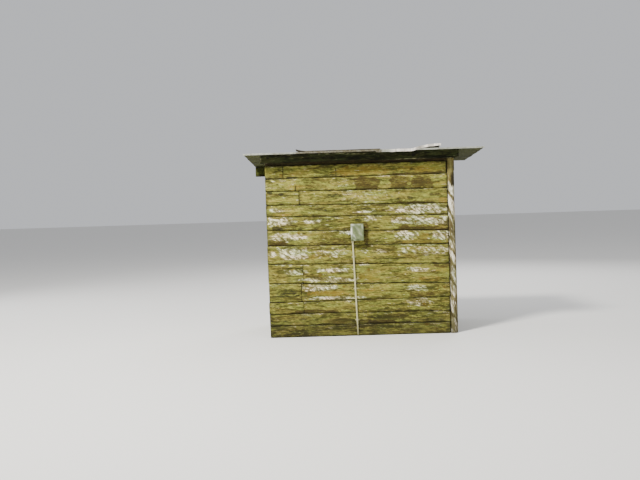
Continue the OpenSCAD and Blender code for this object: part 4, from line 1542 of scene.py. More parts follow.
def nail_spots(outlines: list[Outline], axes: Axes, supports: list[Object], seed: int) -> Array:
    """Place two nails where each board crosses a post or stud.

    Args:
        outlines: The boards.
        axes: Directions of the boards.
        supports: CAD nodes that they are nailed to.
        seed: Seed of the small misses.

    Returns:
        Places of the nails on the boards' faces, (n, 3).
    """
    rng = np.random.default_rng(seed)
    lines = [axes.read(solid)[:, 0] for node in supports for solid in solids_of(node)]
    centres = [(line.min() + line.max()) / 2 for line in lines]
    found = []
    for board in outlines:
        for centre in centres:
            u = np.clip(centre, board.at[0] + 20 * MM, board.at[-1] - 20 * MM)
            if abs(u - centre) > 42 * MM:
                continue
            for level in (0.24, 0.78):
                at = u + rng.uniform(-6, 6) * MM
                foot = np.interp(at, board.at, np.maximum(board.low, board.wane - 8 * MM))
                head = np.interp(at, board.at, board.top)
                v = foot + (level + rng.uniform(-0.05, 0.05)) * (head - foot)
                found.append((at, v, board.base + board.thick))
    return axes.place(np.array(found))


@dataclass
class CornerPole:
    """The natural pole at the front right corner, half peeled.

    Attributes:
        sides: Points round the pole.
        step: Distance between rings.
        girth: Mean radius, which turns angles into distances.
        bark_thick: Thickness of the bark that stayed on.
        peeled_below: Height under which the pole is pale and peeled.
        streaks: Dark diagonal streaks on the peeled wood: height at the front, half
        width, fall for each radian round to the right, and how far round it reaches.
        stubs: Trimmed branches: height, turn from the front, radius.
        cracks: Drying cracks: turn from the front at the foot, and turn for each
            metre up.
        crack_deep: Depth of a crack.
        stub_high: How far a stub stands out.
        seed: Seed of the pole.
    """

    sides: int = 84
    step: float = 7 * MM
    girth: float = 36 * MM
    bark_thick: float = 2.2 * MM
    peeled_below: float = 1.865
    streaks: Rows = (
        (1.716, 0.022, 0.065, 3.0), (1.470, 0.034, 0.105, 2.4), (1.345, 0.032, 0.090, 2.0),
        (1.262, 0.020, 0.048, 2.6), (1.172, 0.018, 0.042, 2.4), (1.030, 0.020, 0.070, 2.6),
        (0.860, 0.022, 0.055, 3.0), (0.640, 0.018, 0.060, 2.4), (0.430, 0.024, 0.050, 3.0),
        (0.210, 0.020, 0.060, 2.4),
    )
    stubs: Rows = ((1.66, 2.2, 0.011), (1.28, -2.0, 0.010), (0.9, 0.9, 0.012),
                   (0.48, -1.3, 0.011), (1.95, 2.6, 0.009))
    cracks: Rows = ((-0.55, 0.35), (1.2, -0.3), (2.7, 0.2))
    crack_deep: float = 3.0 * MM
    stub_high: float = 2.5 * MM
    seed: int = 401

    def build(self, nodes: Nodes) -> None:
        """Make the pole: r = R + bark + long waves + stubs, less its drying cracks.

        R and the middle of each ring follow those of the CAD node.

        Args:
            nodes: The CAD nodes.
        """
        points = solids_of(nodes["corner_pole"])[0]
        levels, ring = np.unique(np.round(points[:, 2], 3), return_inverse=True)
        ring = ring.reshape(-1)
        count = np.bincount(ring)
        cx, cy = (np.bincount(ring, points[:, k]) / count for k in (0, 1))
        reach = np.hypot(points[:, 0] - cx[ring], points[:, 1] - cy[ring])
        reach = np.bincount(ring, reach) / count
        z = np.linspace(levels[0], levels[-1], round((levels[-1] - levels[0]) / self.step))
        phi = np.linspace(-math.pi, math.pi, self.sides, endpoint=False)
        z, phi = np.broadcast_arrays(z[:, None], phi[None, :])
        x, y, radius = (flow(z, levels, line) for line in (cx, cy, reach))
        marks = self.marks(z, phi)
        end = np.minimum(z - levels[0], levels[-1] - z)
        lift = self.relief(z, phi, marks) - 2 * MM * (1 - rise(end, 0, 0.006))
        r = radius - self.bark_thick * 0.5 + lift
        rings = np.stack([x + r * np.sin(phi), y - r * np.cos(phi), z], axis=-1)
        turn = np.linspace(0, 2 * math.pi, self.sides + 1)[None, :] * radius[:, :1]
        pole = skin(rings, turn + 0.09 * z[:, :1], z[:, 0], marks)
        make_piece("peeled_corner_pole", [pole], wood(POLE_WOOD), ("corner_pole",),
                   wood(END_WOOD))

    def marks(self, z: Array, phi: Array) -> Marks:
        """Work out the pole's marks.

        It is tan above, its right side painted in shade, then white and peeled, then
        brown-grey, with dark slanting streaks and bark behind.

        Args:
            z: Heights.
            phi: Turns from the front, to the right.

        Returns:
            The marks.
        """
        sx, sy = 2.0 * np.sin(phi), 2.0 * np.cos(phi)
        ragged = 0.02 * ripple(sx + z * 9, sy - z * 5, self.seed, 3)
        peeled = rise(self.peeled_below - z + 2.4 * ragged, -0.012, 0.02)
        streak = np.zeros_like(z)
        for height, half, fall, reach in self.streaks:
            line = np.abs(z - height + fall * phi + 0.6 * ragged)
            line = rise(1.6 * half - line, 0, 0.9 * half) * rise(reach - np.abs(phi), 0, 0.8)
            streak = np.maximum(streak, line)
        white = rise(z, 1.36, 1.56)
        twist = rise(ripple(phi * 1.6 + z * 14, z * 3, self.seed + 5, 3), -0.5, 0.6)
        # Painted light: the silver weakens towards the right side, and above the peeling the left
        # side is made paler, as if lit from the left.
        silver = 0.3 + 0.85 * white + 0.5 * (1 - white) * twist - 0.25 * rise(phi, 0.2, 1.1)
        silver = peeled * (1 - streak) * silver + 0.3 * (1 - peeled) * rise(-phi, 0.6, 0.9)
        behind = rise(ripple(sx + 3 * z, sy + z, self.seed + 3, 3), -0.6, 0.1)
        behind = behind * rise(np.abs(phi), 2.0, 2.7)
        # Painted shade: the right side of the unpeeled top is darkened through the bark and dark
        # marks.
        shaded = rise(phi + 2 * ragged, -0.25, 0.1) * rise(2.6 - phi, 0, 0.4)
        shaded = (1 - peeled) * shaded * rise(0.17 - z + self.peeled_below, 0, 0.08)
        brown = (1 - peeled) * rise(phi, -0.75, -0.45)
        bark = np.clip(0.9 * behind + 0.95 * shaded + 0.35 * brown, 0, 1)
        knot = np.zeros_like(z)
        for height, turn, size in self.stubs:
            r = np.hypot((z - height) / 1.2, (phi - turn) * self.girth) / size
            knot = np.maximum(knot, np.clip(1.3 - r, 0, 1))
        tone = 0.75 - 2.4 * streak * peeled - 0.9 * brown
        return {
            "bark": bark,
            "warm": 1.3 * (1 - peeled),
            "silver": np.clip(silver, 0, 1.3),
            "knot": knot,
            "edge": rise(0.05 - z, 0, 0.05),
            "dark": 0.5 * shaded + 0.3 * streak * peeled,
            "tone": tone - 0.8 * (1 - white) * (1 - twist) * peeled,
        }

    def relief(self, z: Array, phi: Array, marks: Marks) -> Array:
        """Work out the pole's relief: long waves, grain, bark and stubs, less the cracks.

        Args:
            z: Heights.
            phi: Turns from the front, to the right.
            marks: The pole's marks.

        Returns:
            How far the surface stands out from the plain pole.
        """
        sx, sy = 2.0 * np.sin(phi), 2.0 * np.cos(phi)
        wave = 1.3 * MM * ripple(sx + z * 2, sy - z * 3, self.seed + 6, 2)
        grain = 0.35 * MM * ripple(phi * 9 + z * 2, z * 6, self.seed + 7, 2)
        bark = self.bark_thick * (0.5 + 0.5 * ripple(phi * 11, z * 55, self.seed + 8, 3))
        cracked = np.zeros_like(z)
        for turn, drift in self.cracks:
            line = phi - turn - drift * z + 0.08 * ripple(z * 4, turn, self.seed + 9, 2)
            open_ = rise(ripple(z * 1.7, turn + 3, self.seed + 10), -0.1, 0.3)
            cracked = cracked + open_ * np.exp(-((line / 0.045) ** 2))
        raised = marks["bark"] * bark + self.stub_high * marks["knot"]
        return wave + grain + raised - self.crack_deep * cracked


@dataclass
class Roof:
    """Deck boards, lapped sheets, a loose plank and the two eaves boards.

    Attributes:
        deck: How the deck boards were sawn.
        board: How the eaves boards and the plank were sawn.
        eaves_marks: Patches on the front eaves board, lengths from its left end; the pale strip
            along the lower edge of its right part is a painted highlight.
        warp: Length of the plank's end that has warped up.
        sheets: Number of sheets.
        sheet_thick: Thickness of a sheet.
        layer: Step up where a sheet lies on another.
        fold: Radius of the fold along the front.
        rows: Rows of points down a sheet.
        step: Distance between a sheet's sections.
        billow: Height of the waves in the sheets.
        dent: Height of the dents in the sheets.
        near: How far from the plank the sheets begin to lie flat.
        loose_long: Length of the third sheet's loose corner along the eaves.
        loose_run: Its reach up the roof.
        loose_lip: Height of the folded edge at its end.
        crumple: Height of its creases.
        crease: Width of the crease where it begins.
        bright: Ends of the pale part of its edge.
        flecked: Where dark flecks begin on that part.
        nail: Radius of a roofing nail's washer.
        nail_gap: Distance between the nails on a rafter.
        over: Directions of the roof seen from above, set by build.
        under: Directions of the roof seen from below, set by build.
        eaves: Place of the deck's front edge down the roof, set by build.
        held: Low and high corner of the plank, set by build.
    """

    deck: Sawn = Sawn(step=13 * MM, rows=9, cracks=1, knots=0.6, nibble=3 * MM, silver=0.2,
                      swell=4.5 * MM)
    board: Sawn = Sawn(rows=12, cracks=1, knots=0.5, nibble=2.5 * MM, silver=0.1, heave=1 * MM)
    eaves_marks: tuple[Patch, ...] = (
        Patch(Mark.SILVER, 0, -0.01, 0.016, -0.1, 1.1, 0.7),
        # Painted highlight: a pale strip along the lower edge of the board's right part.
        Patch(Mark.SILVER, 0, 1.5, 2.40, -0.08, 0.07, 1.7),
        Patch(Mark.WARM, 0, 0.1, 1.5, -0.1, 0.12, 0.9),
    )
    warp: float = 150 * MM
    sheets: int = 4
    sheet_thick: float = 0.9 * MM
    layer: float = 2 * MM
    fold: float = 2.5 * MM
    rows: int = 54
    step: float = 12 * MM
    billow: float = 1.6 * MM
    dent: float = 0.5 * MM
    near: float = 60 * MM
    loose_long: float = 350 * MM
    loose_run: float = 520 * MM
    loose_lip: float = 27 * MM
    crumple: float = 2.5 * MM
    crease: float = 30 * MM
    bright: tuple[float, float] = (0.35, 1.02)
    flecked: float = 0.66
    nail: float = 9 * MM
    nail_gap: float = 240 * MM
    over: Axes = FRONT
    under: Axes = FRONT
    eaves: float = 0.0
    held: Array | None = None

    def build(self, nodes: Nodes) -> None:
        """Make every piece of the roof.

        Args:
            nodes: The CAD nodes.
        """
        fall = self.slope(nodes["roof_plank"])
        c, s = math.cos(fall), math.sin(fall)
        self.over = Axes((1, 0, 0), (0, c, -s), (0, s, c))
        self.under = Axes((1, 0, 0), (0, -c, s), (0, -s, -c))
        self.eaves = self.over.read(node_points(nodes["roof_deck"]))[:, 1].min()
        deck, front, back = (nodes[name] for name in ("roof_deck", "front_fascia", "back_fascia"))
        self.boards("roof_deck_boards", deck, self.under, self.deck, SHADE_DARK_DECK_WOOD, 601)
        self.plank(nodes["roof_plank"])
        eaves_marks = list(self.eaves_marks)
        self.boards("front_eaves_board", front, FRONT, self.board, BLACK_BOARD, 661, eaves_marks)
        self.boards("back_eaves_board", back, BACK, self.board, SHADE_DARK_DECK_WOOD, 683)
        for k in range(1, self.sheets + 1):
            self.sheet(nodes[f"roofing_sheet_{k}"], f"zinc_roof_sheet_{k}")
        self.nails(nodes)

    def slope(self, plank: Object) -> float:
        """Read the roof's fall: the lean of the long side of the plank's right end.

        Args:
            plank: CAD node of the plank.

        Returns:
            The fall towards the back, in radians.
        """
        points = solids_of(plank)[0]
        end = points[points[:, 0] > points[:, 0].max() - MM]
        side = np.linalg.svd(end - end.mean(axis=0), full_matrices=False)[2][0]
        return math.atan2(-side[2] * np.sign(side[1]), abs(side[1]))

    def boards(
        self,
        name: str,
        node: Object,
        axes: Axes,
        sawn: Sawn,
        finish: WoodFinish,
        seed: int,
        patches: list[Patch] | None = None,
    ) -> None:
        """Carve the boards of one CAD node and make their piece.

        Args:
            name: Name of the piece.
            node: The CAD node.
            axes: Directions of the boards.
            sawn: How they were sawn.
            finish: Their finish, which has the name of its slot.
            seed: Seed of the boards.
            patches: Patches on every board, or None for random ones.
        """
        outlines = [outline_of(solid, axes) for solid in solids_of(node)]
        carved = [carve(outline, axes, sawn, seed + BOARD_SEEDS * k, patches, outline.at[0])
                  for k, outline in enumerate(outlines)]
        make_piece(name, carved, wood(finish), (node.name,), wood(END_WOOD))

    def plank(self, node: Object) -> None:
        """Carve the plank flat, then warp its left end up.

        The end rises by high (1 - t)^2, t running along the warped length.

        Args:
            node: CAD node of the plank.
        """
        solid = solids_of(node)[0]
        u, _, h = self.over.read(solid).T
        start = u.min()
        flat = outline_of(solid[u > start + self.warp - MM], self.over)
        flat.at = np.array([start, u.max()])
        board = carve(flat, self.over, self.board, 641)
        points = self.over.read(board.points)
        t = np.clip((points[:, 0] - start) / self.warp, 0, 1)
        points[:, 2] += (h.max() - flat.base - flat.thick) * (1 - t) ** 2
        board.points = self.over.place(points)
        self.held = np.array([[start, flat.low[0]], [u.max(), flat.top[0]]])
        make_piece("loose_roof_plank", [board], wood(PLANK_WOOD), (node.name,),
                   wood(END_WOOD))

    def relief(self, x: Array, v: Array) -> Array:
        """Work out the sheets' shared waves and dents, which are flat under the plank.

        Args:
            x: Places along the eaves.
            v: Places up the roof.

        Returns:
            How far the sheets stand up.
        """
        wave = self.billow * (1.0 + ripple(x * 2.3, v * 1.7, 701, 2))
        wave = wave * rise(v, self.eaves, self.eaves + 0.25)
        dent = self.dent * (1 + ripple(x * 8, v * 8, 703, 2))
        flat = 1.0
        for place, low, high in zip((x, v), *self.held):
            flat = flat * rise(place, low - self.near, low)
            flat = flat * rise(-place, -high - self.near, -high)
        return (wave + dent) * (1 - flat)

    def section(self, front: Array, back: float, top: float, deep: Array) -> Array:
        """Draw the outside of a sheet's section: its lip, fold and flat.

        The fold is a quarter circle, v = front + R (1 - cos a) and
        h = top - R (1 - sin a).

        Args:
            front: Front edge at each station, (n, 1).
            back: Back edge.
            top: Height of the flat.
            deep: Depth of the lip under the fold at each station, (n, 1).

        Returns:
            Places up the roof and heights, (2, n, points).
        """
        turn = np.radians(np.linspace(0, 90, 5))
        drop = np.linspace(1, 0, 5, endpoint=False)
        run = np.linspace(0, 1, self.rows)[1:] ** 1.15
        fold_v = front + self.fold * (1 - np.cos(turn))
        flat_v = fold_v[:, -1:] + (back - fold_v[:, -1:]) * run
        fold_h = np.broadcast_to(top - self.fold * (1 - np.sin(turn)), fold_v.shape)
        lip_h = top - self.fold - deep * drop
        places = np.concatenate([np.repeat(front, len(drop), axis=1), fold_v, flat_v], axis=1)
        return np.stack([places, np.concatenate([lip_h, fold_h, np.full_like(flat_v, top)], 1)])

    def sheet(self, node: Object, name: str) -> None:
        """Make a sheet: its section, a folded lip and a long flat, is carried along the eaves.

        The loose corner of a sheet rises as high (1 - (1 - s)^2) (1 - w)^2, s
        running from the crease to the sheet's end and w up the roof.

        Args:
            node: CAD node of the sheet.
            name: Name of the piece.
        """
        x, v, h = self.over.read(node_points(node)).T
        top = h[x < x.min() + MM].max()
        lip, loose = top - h.min(), h.max() - top - self.layer
        is_loose = loose > self.layer
        loose = loose if is_loose else 0.0
        count = round((x.max() - x.min()) / self.step) + 1
        at = np.linspace(x.min(), x.max(), count)[:, None]
        along = np.clip((at - x.max()) / self.loose_long + 1, 0, 1) * is_loose
        stepped = self.layer * np.clip(along * self.loose_long / self.crease, 0, 1)
        front = v.min() + (self.layer * is_loose - stepped)
        worn = 0.9 * MM * (1 + 2.5 * is_loose)
        deep = lip + (self.loose_lip - lip) * along - self.fold
        deep = deep + worn * ripple(at * 17, 0.4, 707, 3)
        outer_v, outer_h = self.section(front, v.max(), top, deep)
        across_v, across_h = np.gradient(outer_v, axis=1), np.gradient(outer_h, axis=1)
        size = np.hypot(across_v, across_h)
        inner_v = outer_v + self.sheet_thick * across_h / size
        inner_h = outer_h - self.sheet_thick * across_v / size
        back = np.clip(1 - (outer_v - self.eaves) / self.loose_run, 0, 1)
        lifted = loose * (1 - (1 - along) ** 2) * back**2
        creased = self.crumple * ripple(at * 22, outer_v * 9, 709, 2) * 4 * along * (1 - along)
        relief = self.relief(at, outer_v) * rise(outer_v, v.min(), v.min() + 0.01)
        relief = relief * (1 - along * back) + lifted + stepped + creased * back
        ring_v = np.concatenate([outer_v, inner_v[:, ::-1]], axis=1)
        ring_h = np.concatenate([outer_h + relief, (inner_h + relief)[:, ::-1]], axis=1)
        ring_x = np.broadcast_to(at, ring_v.shape)
        rings = self.over.place(np.stack([ring_x, ring_v, ring_h], axis=-1).reshape(-1, 3))
        lengths = np.concatenate([ring_v, ring_v[:, :1]], axis=1)
        marks = self.stains(ring_x, ring_v, front, is_loose)
        surface = skin(rings.reshape(*ring_v.shape, 3), lengths, at[:, 0], marks)
        make_piece(name, [surface], metal(ZINC_SHEET), (node.name,))

    def stains(self, x: Array, v: Array, front: Array, is_loose: bool) -> Marks:
        """Work out a sheet's marks.

        It is brown under the plank and at the eaves, and the loose corner's edge is
        pale with flecks.

        Args:
            x: Places along the eaves.
            v: Places up the roof.
            front: Front edge of the sheet.
            is_loose: Whether the sheet has the loose corner.

        Returns:
            The marks.
        """
        (x0, _), (x1, v1) = self.held
        lip = rise(front + 6 * MM - v, 0, 4 * MM)
        beside = rise(x, x0 - 0.01, x0 + 0.02) * rise(-x, -x1 - 0.02, -x1)
        drips = rise(ripple(x * 12, v * 3, 711, 3), -0.1, 0.7)
        dark = lip * (0.95 * beside + 0.35 * drips * (1 - beside))
        dark = dark + 0.3 * beside * rise(v1 + 0.3 - v, 0, 0.3) * drips
        low, high = self.bright
        raised = lip * rise(x, low, low + 0.1) * rise(-x, -high, 0.02 - high) * is_loose
        flecks = rise(ripple(x * 30, v * 60, 713, 3), -0.35, 0.25)
        spotted = rise(x, self.flecked, self.flecked + 0.08)
        dark = dark + 0.4 * raised * (1 - flecks) * spotted
        return {"dark": np.clip(dark, 0, 1), "silver": raised * (0.75 + 0.25 * flecks)}

    def nails(self, nodes: Nodes) -> None:
        """Drive a row of nails with washers through the sheets into each rafter.

        Args:
            nodes: The CAD nodes.
        """
        rng = np.random.default_rng(721)
        deck = self.over.read(node_points(nodes["roof_deck"]))[:, 1]
        sheets = [self.over.read(node_points(nodes[f"roofing_sheet_{k}"]))
                  for k in range(1, self.sheets + 1)]
        spots = []
        for rafter in solids_of(nodes["rafters"]):
            line = self.over.read(rafter)[:, 0]
            for v in np.arange(deck.min() + 0.26, deck.max() - 0.04, self.nail_gap):
                x = (line.min() + line.max()) / 2 + rng.uniform(-8, 8) * MM
                tops = [sheet[sheet[:, 0] < sheet[:, 0].min() + MM, 2].max() for sheet in sheets
                        if sheet[:, 0].min() < x < sheet[:, 0].max()]
                lift = float(self.relief(np.array(x), np.array(v)))
                spots.append((x, v + rng.uniform(-15, 15) * MM, max(tops) + lift))
        out = self.over.outward
        spots = self.over.place(np.array(spots))
        washers = domes(spots, out, self.nail, 0.8 * MM, 14)
        heads = domes(spots + 0.6 * MM * np.array(out), out, self.nail / 2, NAIL_HIGH, 10)
        make_piece("roofing_nails", [washers, heads], metal(NAIL_IRON))


@dataclass
class Door:
    """The plank door in the back wall, with its hinges and turning latch.

    Attributes:
        sawn: How the door's boards were sawn.
        nail: Radius of a nail head.
        bolt: Radius of a coach bolt's head.
        pin: How far the hinges' pins stand in from the straps' left ends.
        latch_round: Radius of the latch's worn edges.
    """

    sawn: Sawn = Sawn(step=10 * MM, rows=12, cracks=1, knots=0.9, nibble=1 * MM, silver=0.4,
                      bark=0.0, swell=4 * MM)
    nail: float = 4.5 * MM
    bolt: float = 8 * MM
    pin: float = 50 * MM
    latch_round: float = 4 * MM

    def build(self, nodes: Nodes) -> None:
        """Carve the boards, then set the nails, bolts and latch and dress the rest.

        Args:
            nodes: The CAD nodes.
        """
        solids = sorted(solids_of(nodes["door_boards"]), key=lambda p: p[:, 0].mean())
        outlines = [outline_of(solid, DOOR) for solid in solids]
        boards = [carve(outline, DOOR, self.sawn, 801 + BOARD_SEEDS * k)
                  for k, outline in enumerate(outlines)]
        make_piece("door_leaf_boards", boards, wood(DOOR_WOOD), ("door_boards",),
                   wood(END_WOOD))
        self.drive_nails(nodes["door_battens"], outlines)
        self.set_bolts(nodes["door_hinges"])
        self.latch(nodes["door_latch"])
        dress(nodes["door_hinges"], metal(IRON), 0.8 * MM)
        dress(nodes["door_jambs"], wood(SHADE_DARK_FRAME_WOOD, GrainFrom.Z))
        dress(nodes["door_header"], wood(SHADE_DARK_FRAME_WOOD, GrainFrom.X))
        dress(nodes["door_battens"], wood(DOOR_WOOD, GrainFrom.X))

    def drive_nails(self, battens: Object, outlines: list[Outline]) -> None:
        """Drive two clenched nails through each board at each level batten.

        Args:
            battens: CAD node of the battens.
            outlines: The door's boards.
        """
        level_ones = sorted(solids_of(battens), key=lambda p: np.ptp(p[:, 2]))[:2]
        rng = np.random.default_rng(843)
        spots = []
        for board in outlines:
            for batten in level_ones:
                level = (batten[:, 2].min() + batten[:, 2].max()) / 2
                for aside in (-30 * MM, 30 * MM):
                    x = (board.low[0] + board.top[0]) / 2 + aside
                    up = level + aside + rng.uniform(-5, 5) * MM
                    spots.append((up, x, board.base + board.thick))
        nails = domes(DOOR.place(np.array(spots)), DOOR.outward, self.nail, NAIL_HIGH)
        make_piece("door_nails", [nails], metal(NAIL_IRON))

    def set_bolts(self, hinges: Object) -> None:
        """Set three bolts in each strap and two in each plate.

        Args:
            hinges: CAD node of the hinges.
        """
        spots = []
        for solid in solids_of(hinges):
            low, high, middle, _ = centred((solid.min(axis=0), solid.max(axis=0)))
            pin, run = low[0] + self.pin, high[0] - low[0]
            face = np.sort(np.unique(np.round(solid[:, 1], 4)))[1]
            on_strap = pin + 0.09 * run, pin + 0.42 * run, high[0] - 0.05 * run
            on_plate = low[0] + 0.04 * run, pin - 0.05 * run
            spots += [(x, face, middle[2]) for x in (*on_strap, *on_plate)]
        bolts = domes(np.array(spots), DOOR.outward, self.bolt, 3.2 * MM, 16)
        make_piece("hinge_bolts", [bolts], metal(IRON))

    def latch(self, node: Object) -> None:
        """Make the latch: its long round outline is lofted outwards with worn edges.

        Args:
            node: CAD node of the latch.
        """
        low, high, middle, half = centred(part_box(node.name))
        thick, worn = high[1] - low[1], self.latch_round
        levels = [0, 1.5 * MM, thick - worn, thick - 0.35 * worn, thick, thick]
        insets = [0.5 * MM, 0, 0, 0.3 * worn, worn, half[2] * 0.6]
        loops = [round_loop(half[0] - inset, half[2] - inset, max(half[2] - inset, MM), 9)
                 for inset in insets]
        origin = np.array([middle[0], low[1], middle[2]])
        block = loft(loops, levels, INTO, origin)
        x, _, z = (block.points - origin).T
        block.points[:, 2] += 0.8 * MM * ripple(x * 60, z * 90, 851, 2)
        block.marks["tone"] = np.full(len(block.points), 0.8)
        block.marks["edge"] = np.full(len(block.points), 0.25)
        make_piece("turning_latch", [block], wood(DOOR_WOOD, GrainFrom.X),
                   ("door_latch",))
        pivot = np.array([[middle[0], high[1] - 0.4 * MM, middle[2]]])
        screw = domes(pivot, DOOR.outward, 7 * MM, 2.2 * MM, 16)
        washer = domes(pivot - [[0, 0.8 * MM, 0]], DOOR.outward, 12 * MM, 1.2 * MM, 20)
        make_piece("latch_screw", [washer, screw], metal(IRON))


@dataclass
class SwitchBox:
    """The pale switch box on the plain wall, with its lever, tube and straps.

    Attributes:
        corner: Radius of the case's upright corners.
        soft_edge: Radius of the cover's front edge.
        hinge_edge: Radius of its worn left edge.
        panel_in: Distance of the raised panel from the edge.
        panel_out: Height of the raised panel.
        screw: Radius of a screw's head.
        screw_in: Distance of the cover's screws from its edges.
        arm_edge: Radius of the lever arm's worn end.
        tube_sides: Points round the tube.
        tube_bend: How far the tube is bent.
        sleeves: Locknut and collar on the tube: where each part begins and ends
            below the box, how far it stands out and its number of sides.
        strap_thick: Thickness of a strap.
        strap_wide: Height of a strap along the tube.
        strap_round: Radius inside a strap's bow.
        white: Painted highlights and reflections of the cover, a lit left edge, pale top
            edge and slanting glints: place across and up it, half length and half width as
            shares of it, lean in degrees and strength.
        shade_and_dirt: Dark patches of the cover: dirt, and painted shade down its right
            edge and in slanting streaks.
    """

    corner: float = 9 * MM
    soft_edge: float = 6 * MM
    hinge_edge: float = 11 * MM
    panel_in: float = 17 * MM
    panel_out: float = 1.2 * MM
    screw: float = 3.6 * MM
    screw_in: float = 9 * MM
    arm_edge: float = 3.5 * MM
    tube_sides: int = 32
    tube_bend: float = 1.1 * MM
    sleeves: Rows = ((0, 7 * MM, 5.5 * MM, 6), (7 * MM, 24 * MM, 2.6 * MM, 28),
                     (24 * MM, 27 * MM, 3.6 * MM, 28))
    strap_thick: float = 1.8 * MM
    strap_wide: float = 18 * MM
    strap_round: float = 11.4 * MM
    # Painted highlights and reflections: the lit left edge, the pale top edge and slanting glints.
    white: Rows = (
        (0.05, 0.56, 0.24, 0.05, 90, 1.4), (0.12, 0.94, 0.14, 0.04, 0, 0.8),
        (0.62, 0.95, 0.20, 0.03, 0, 0.3), (0.90, 0.80, 0.16, 0.05, -68, 0.3),
        (0.44, 0.74, 0.24, 0.05, -48, 0.14), (0.60, 0.62, 0.26, 0.05, -48, 0.12),
        (0.26, 0.28, 0.15, 0.035, -50, 0.6), (0.27, 0.06, 0.10, 0.03, -45, 0.35),
        (0.74, 0.40, 0.14, 0.06, -40, 0.2),
    )
    # Dirt, and painted shade down the right edge and in slanting streaks.
    shade_and_dirt: Rows = (
        (0.24, 0.17, 0.07, 0.05, 0, 0.9), (0.54, 0.05, 0.17, 0.07, 0, 1.2),
        (0.62, 0.84, 0.12, 0.05, -40, 0.6), (0.30, 0.76, 0.22, 0.10, -35, 0.6),
        (0.08, 0.02, 0.20, 0.09, 0, 0.9), (0.99, 0.35, 0.35, 0.06, 90, 0.6),
        (0.42, 0.50, 0.30, 0.09, -48, 0.45), (0.05, 0.84, 0.05, 0.06, 0, 0.6),
        (0.38, 0.22, 0.16, 0.05, -45, 0.5),
    )

    def build(self, nodes: Nodes) -> None:
        """Make the case, cover, lever, tube and straps.

        Args:
            nodes: The CAD nodes.
        """
        self.case()
        self.cover()
        self.lever()
        top, foot = self.tube(nodes["conduit"])
        self.straps(nodes["conduit_straps"], top, foot)

    def case(self) -> None:
        """Make the case: a rounded outline carried outwards from the wall."""
        low, high, middle, half = centred(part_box("switch_box"))
        levels = [high[1], high[1] - 2 * MM, low[1] + 2 * MM, low[1]]
        loops = [round_loop(half[0] - inset, half[2] - inset, self.corner, 7)
                 for inset in (1 * MM, 0, 0, 1 * MM)]
        shell = loft(loops, levels, INTO, (middle[0], 0, middle[2]))
        make_piece("switch_box_case", [shell], metal(BOX_PAINT), ("switch_box",))

    def cover(self) -> None:
        """Make the cover: its outline shrinks over a quarter circle, wide on the worn left edge.

        At turn a of the quarter circle the outline has moved in by R (1 - cos a)
        and out by R sin a, and the panel is the outline again, further in.
        """
        low, high, middle, half = centred(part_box("box_cover"))
        deep = high[1] - low[1]
        top = deep - self.panel_out
        turns = np.radians([0, 0, 22, 45, 68, 84])
        panel = self.panel_in + np.array([0, 1, 2.6, 4]) * MM
        rounded = 1 - np.cos(turns)
        shrink = [*(self.soft_edge * rounded), *panel]
        wide = [*(self.hinge_edge * rounded), *(panel + self.hinge_edge * 0.6)]
        edge = top - self.soft_edge + self.soft_edge * np.sin(turns[1:])
        outs = [0, *edge, top, top + 0.2 * MM, deep - 0.2 * MM, deep]
        loops = []
        for inset, left in zip(shrink, wide):
            radius = max(self.corner - inset, 2.5 * MM)
            loop = round_loop(half[0] - (inset + left) / 2, half[2] - inset, radius, 7, 12)
            loops.append(loop + np.array([(left - inset) / 2, 0]))
        rim, centre = loops[-1], loops[-1].mean(axis=0)
        inner = [centre + share * (rim - centre)
                 for share in (0.88, 0.76, 0.64, 0.52, 0.4, 0.28, 0.16, 0.05)]
        levels = [high[1] - out for out in outs + [deep] * len(inner)]
        lid = loft(loops + inner, levels, INTO, (middle[0], 0, middle[2]))
        x, z = ((lid.points[:, k] - low[k]) / (high[k] - low[k]) for k in (0, 2))
        # The silver mark paints highlights on the cover, and the dark mark its dirt and painted
        # shade.
        lid.marks = {"silver": self.stains(x, z, self.white), "dark": self.stains(x, z, self.shade_and_dirt)}
        at, out, reach = high[0] - self.screw_in, low[1] + self.panel_out, half[2] - self.screw_in
        spots = np.array([[at, out, middle[2] - reach], [at, out, middle[2] + reach]])
        screws = domes(spots, FRONT.outward, self.screw, 1.6 * MM, 14)
        make_piece("switch_box_cover", [lid, screws], metal(BOX_PAINT),
                   ("box_cover",))

    def stains(self, x: Array, z: Array, spots: Rows) -> Array:
        """Work out one list of marks on the cover, its painted highlights or its dark patches.

        Each mark is the bell e^-(a^2 + b^2), a and b being the distances from its
        middle along and across its lean, over its half sizes.

        Args:
            x: Places across the cover, from 0 at its left edge to 1.
            z: Places up the cover, from 0 to 1.
            spots: The marks.

        Returns:
            How strongly they show, from 0 to 1.
        """
        total = np.zeros(len(x))
        for at, up, long_, wide, lean, strength in spots:
            c, s = math.cos(math.radians(lean)), math.sin(math.radians(lean))
            a, b = (x - at) * c + (z - up) * s, (z - up) * c - (x - at) * s
            bell = np.exp(-((a / long_) ** 2) - (b / wide) ** 2)
            total = np.maximum(total, strength * bell)
        return np.clip(total, 0, 1)

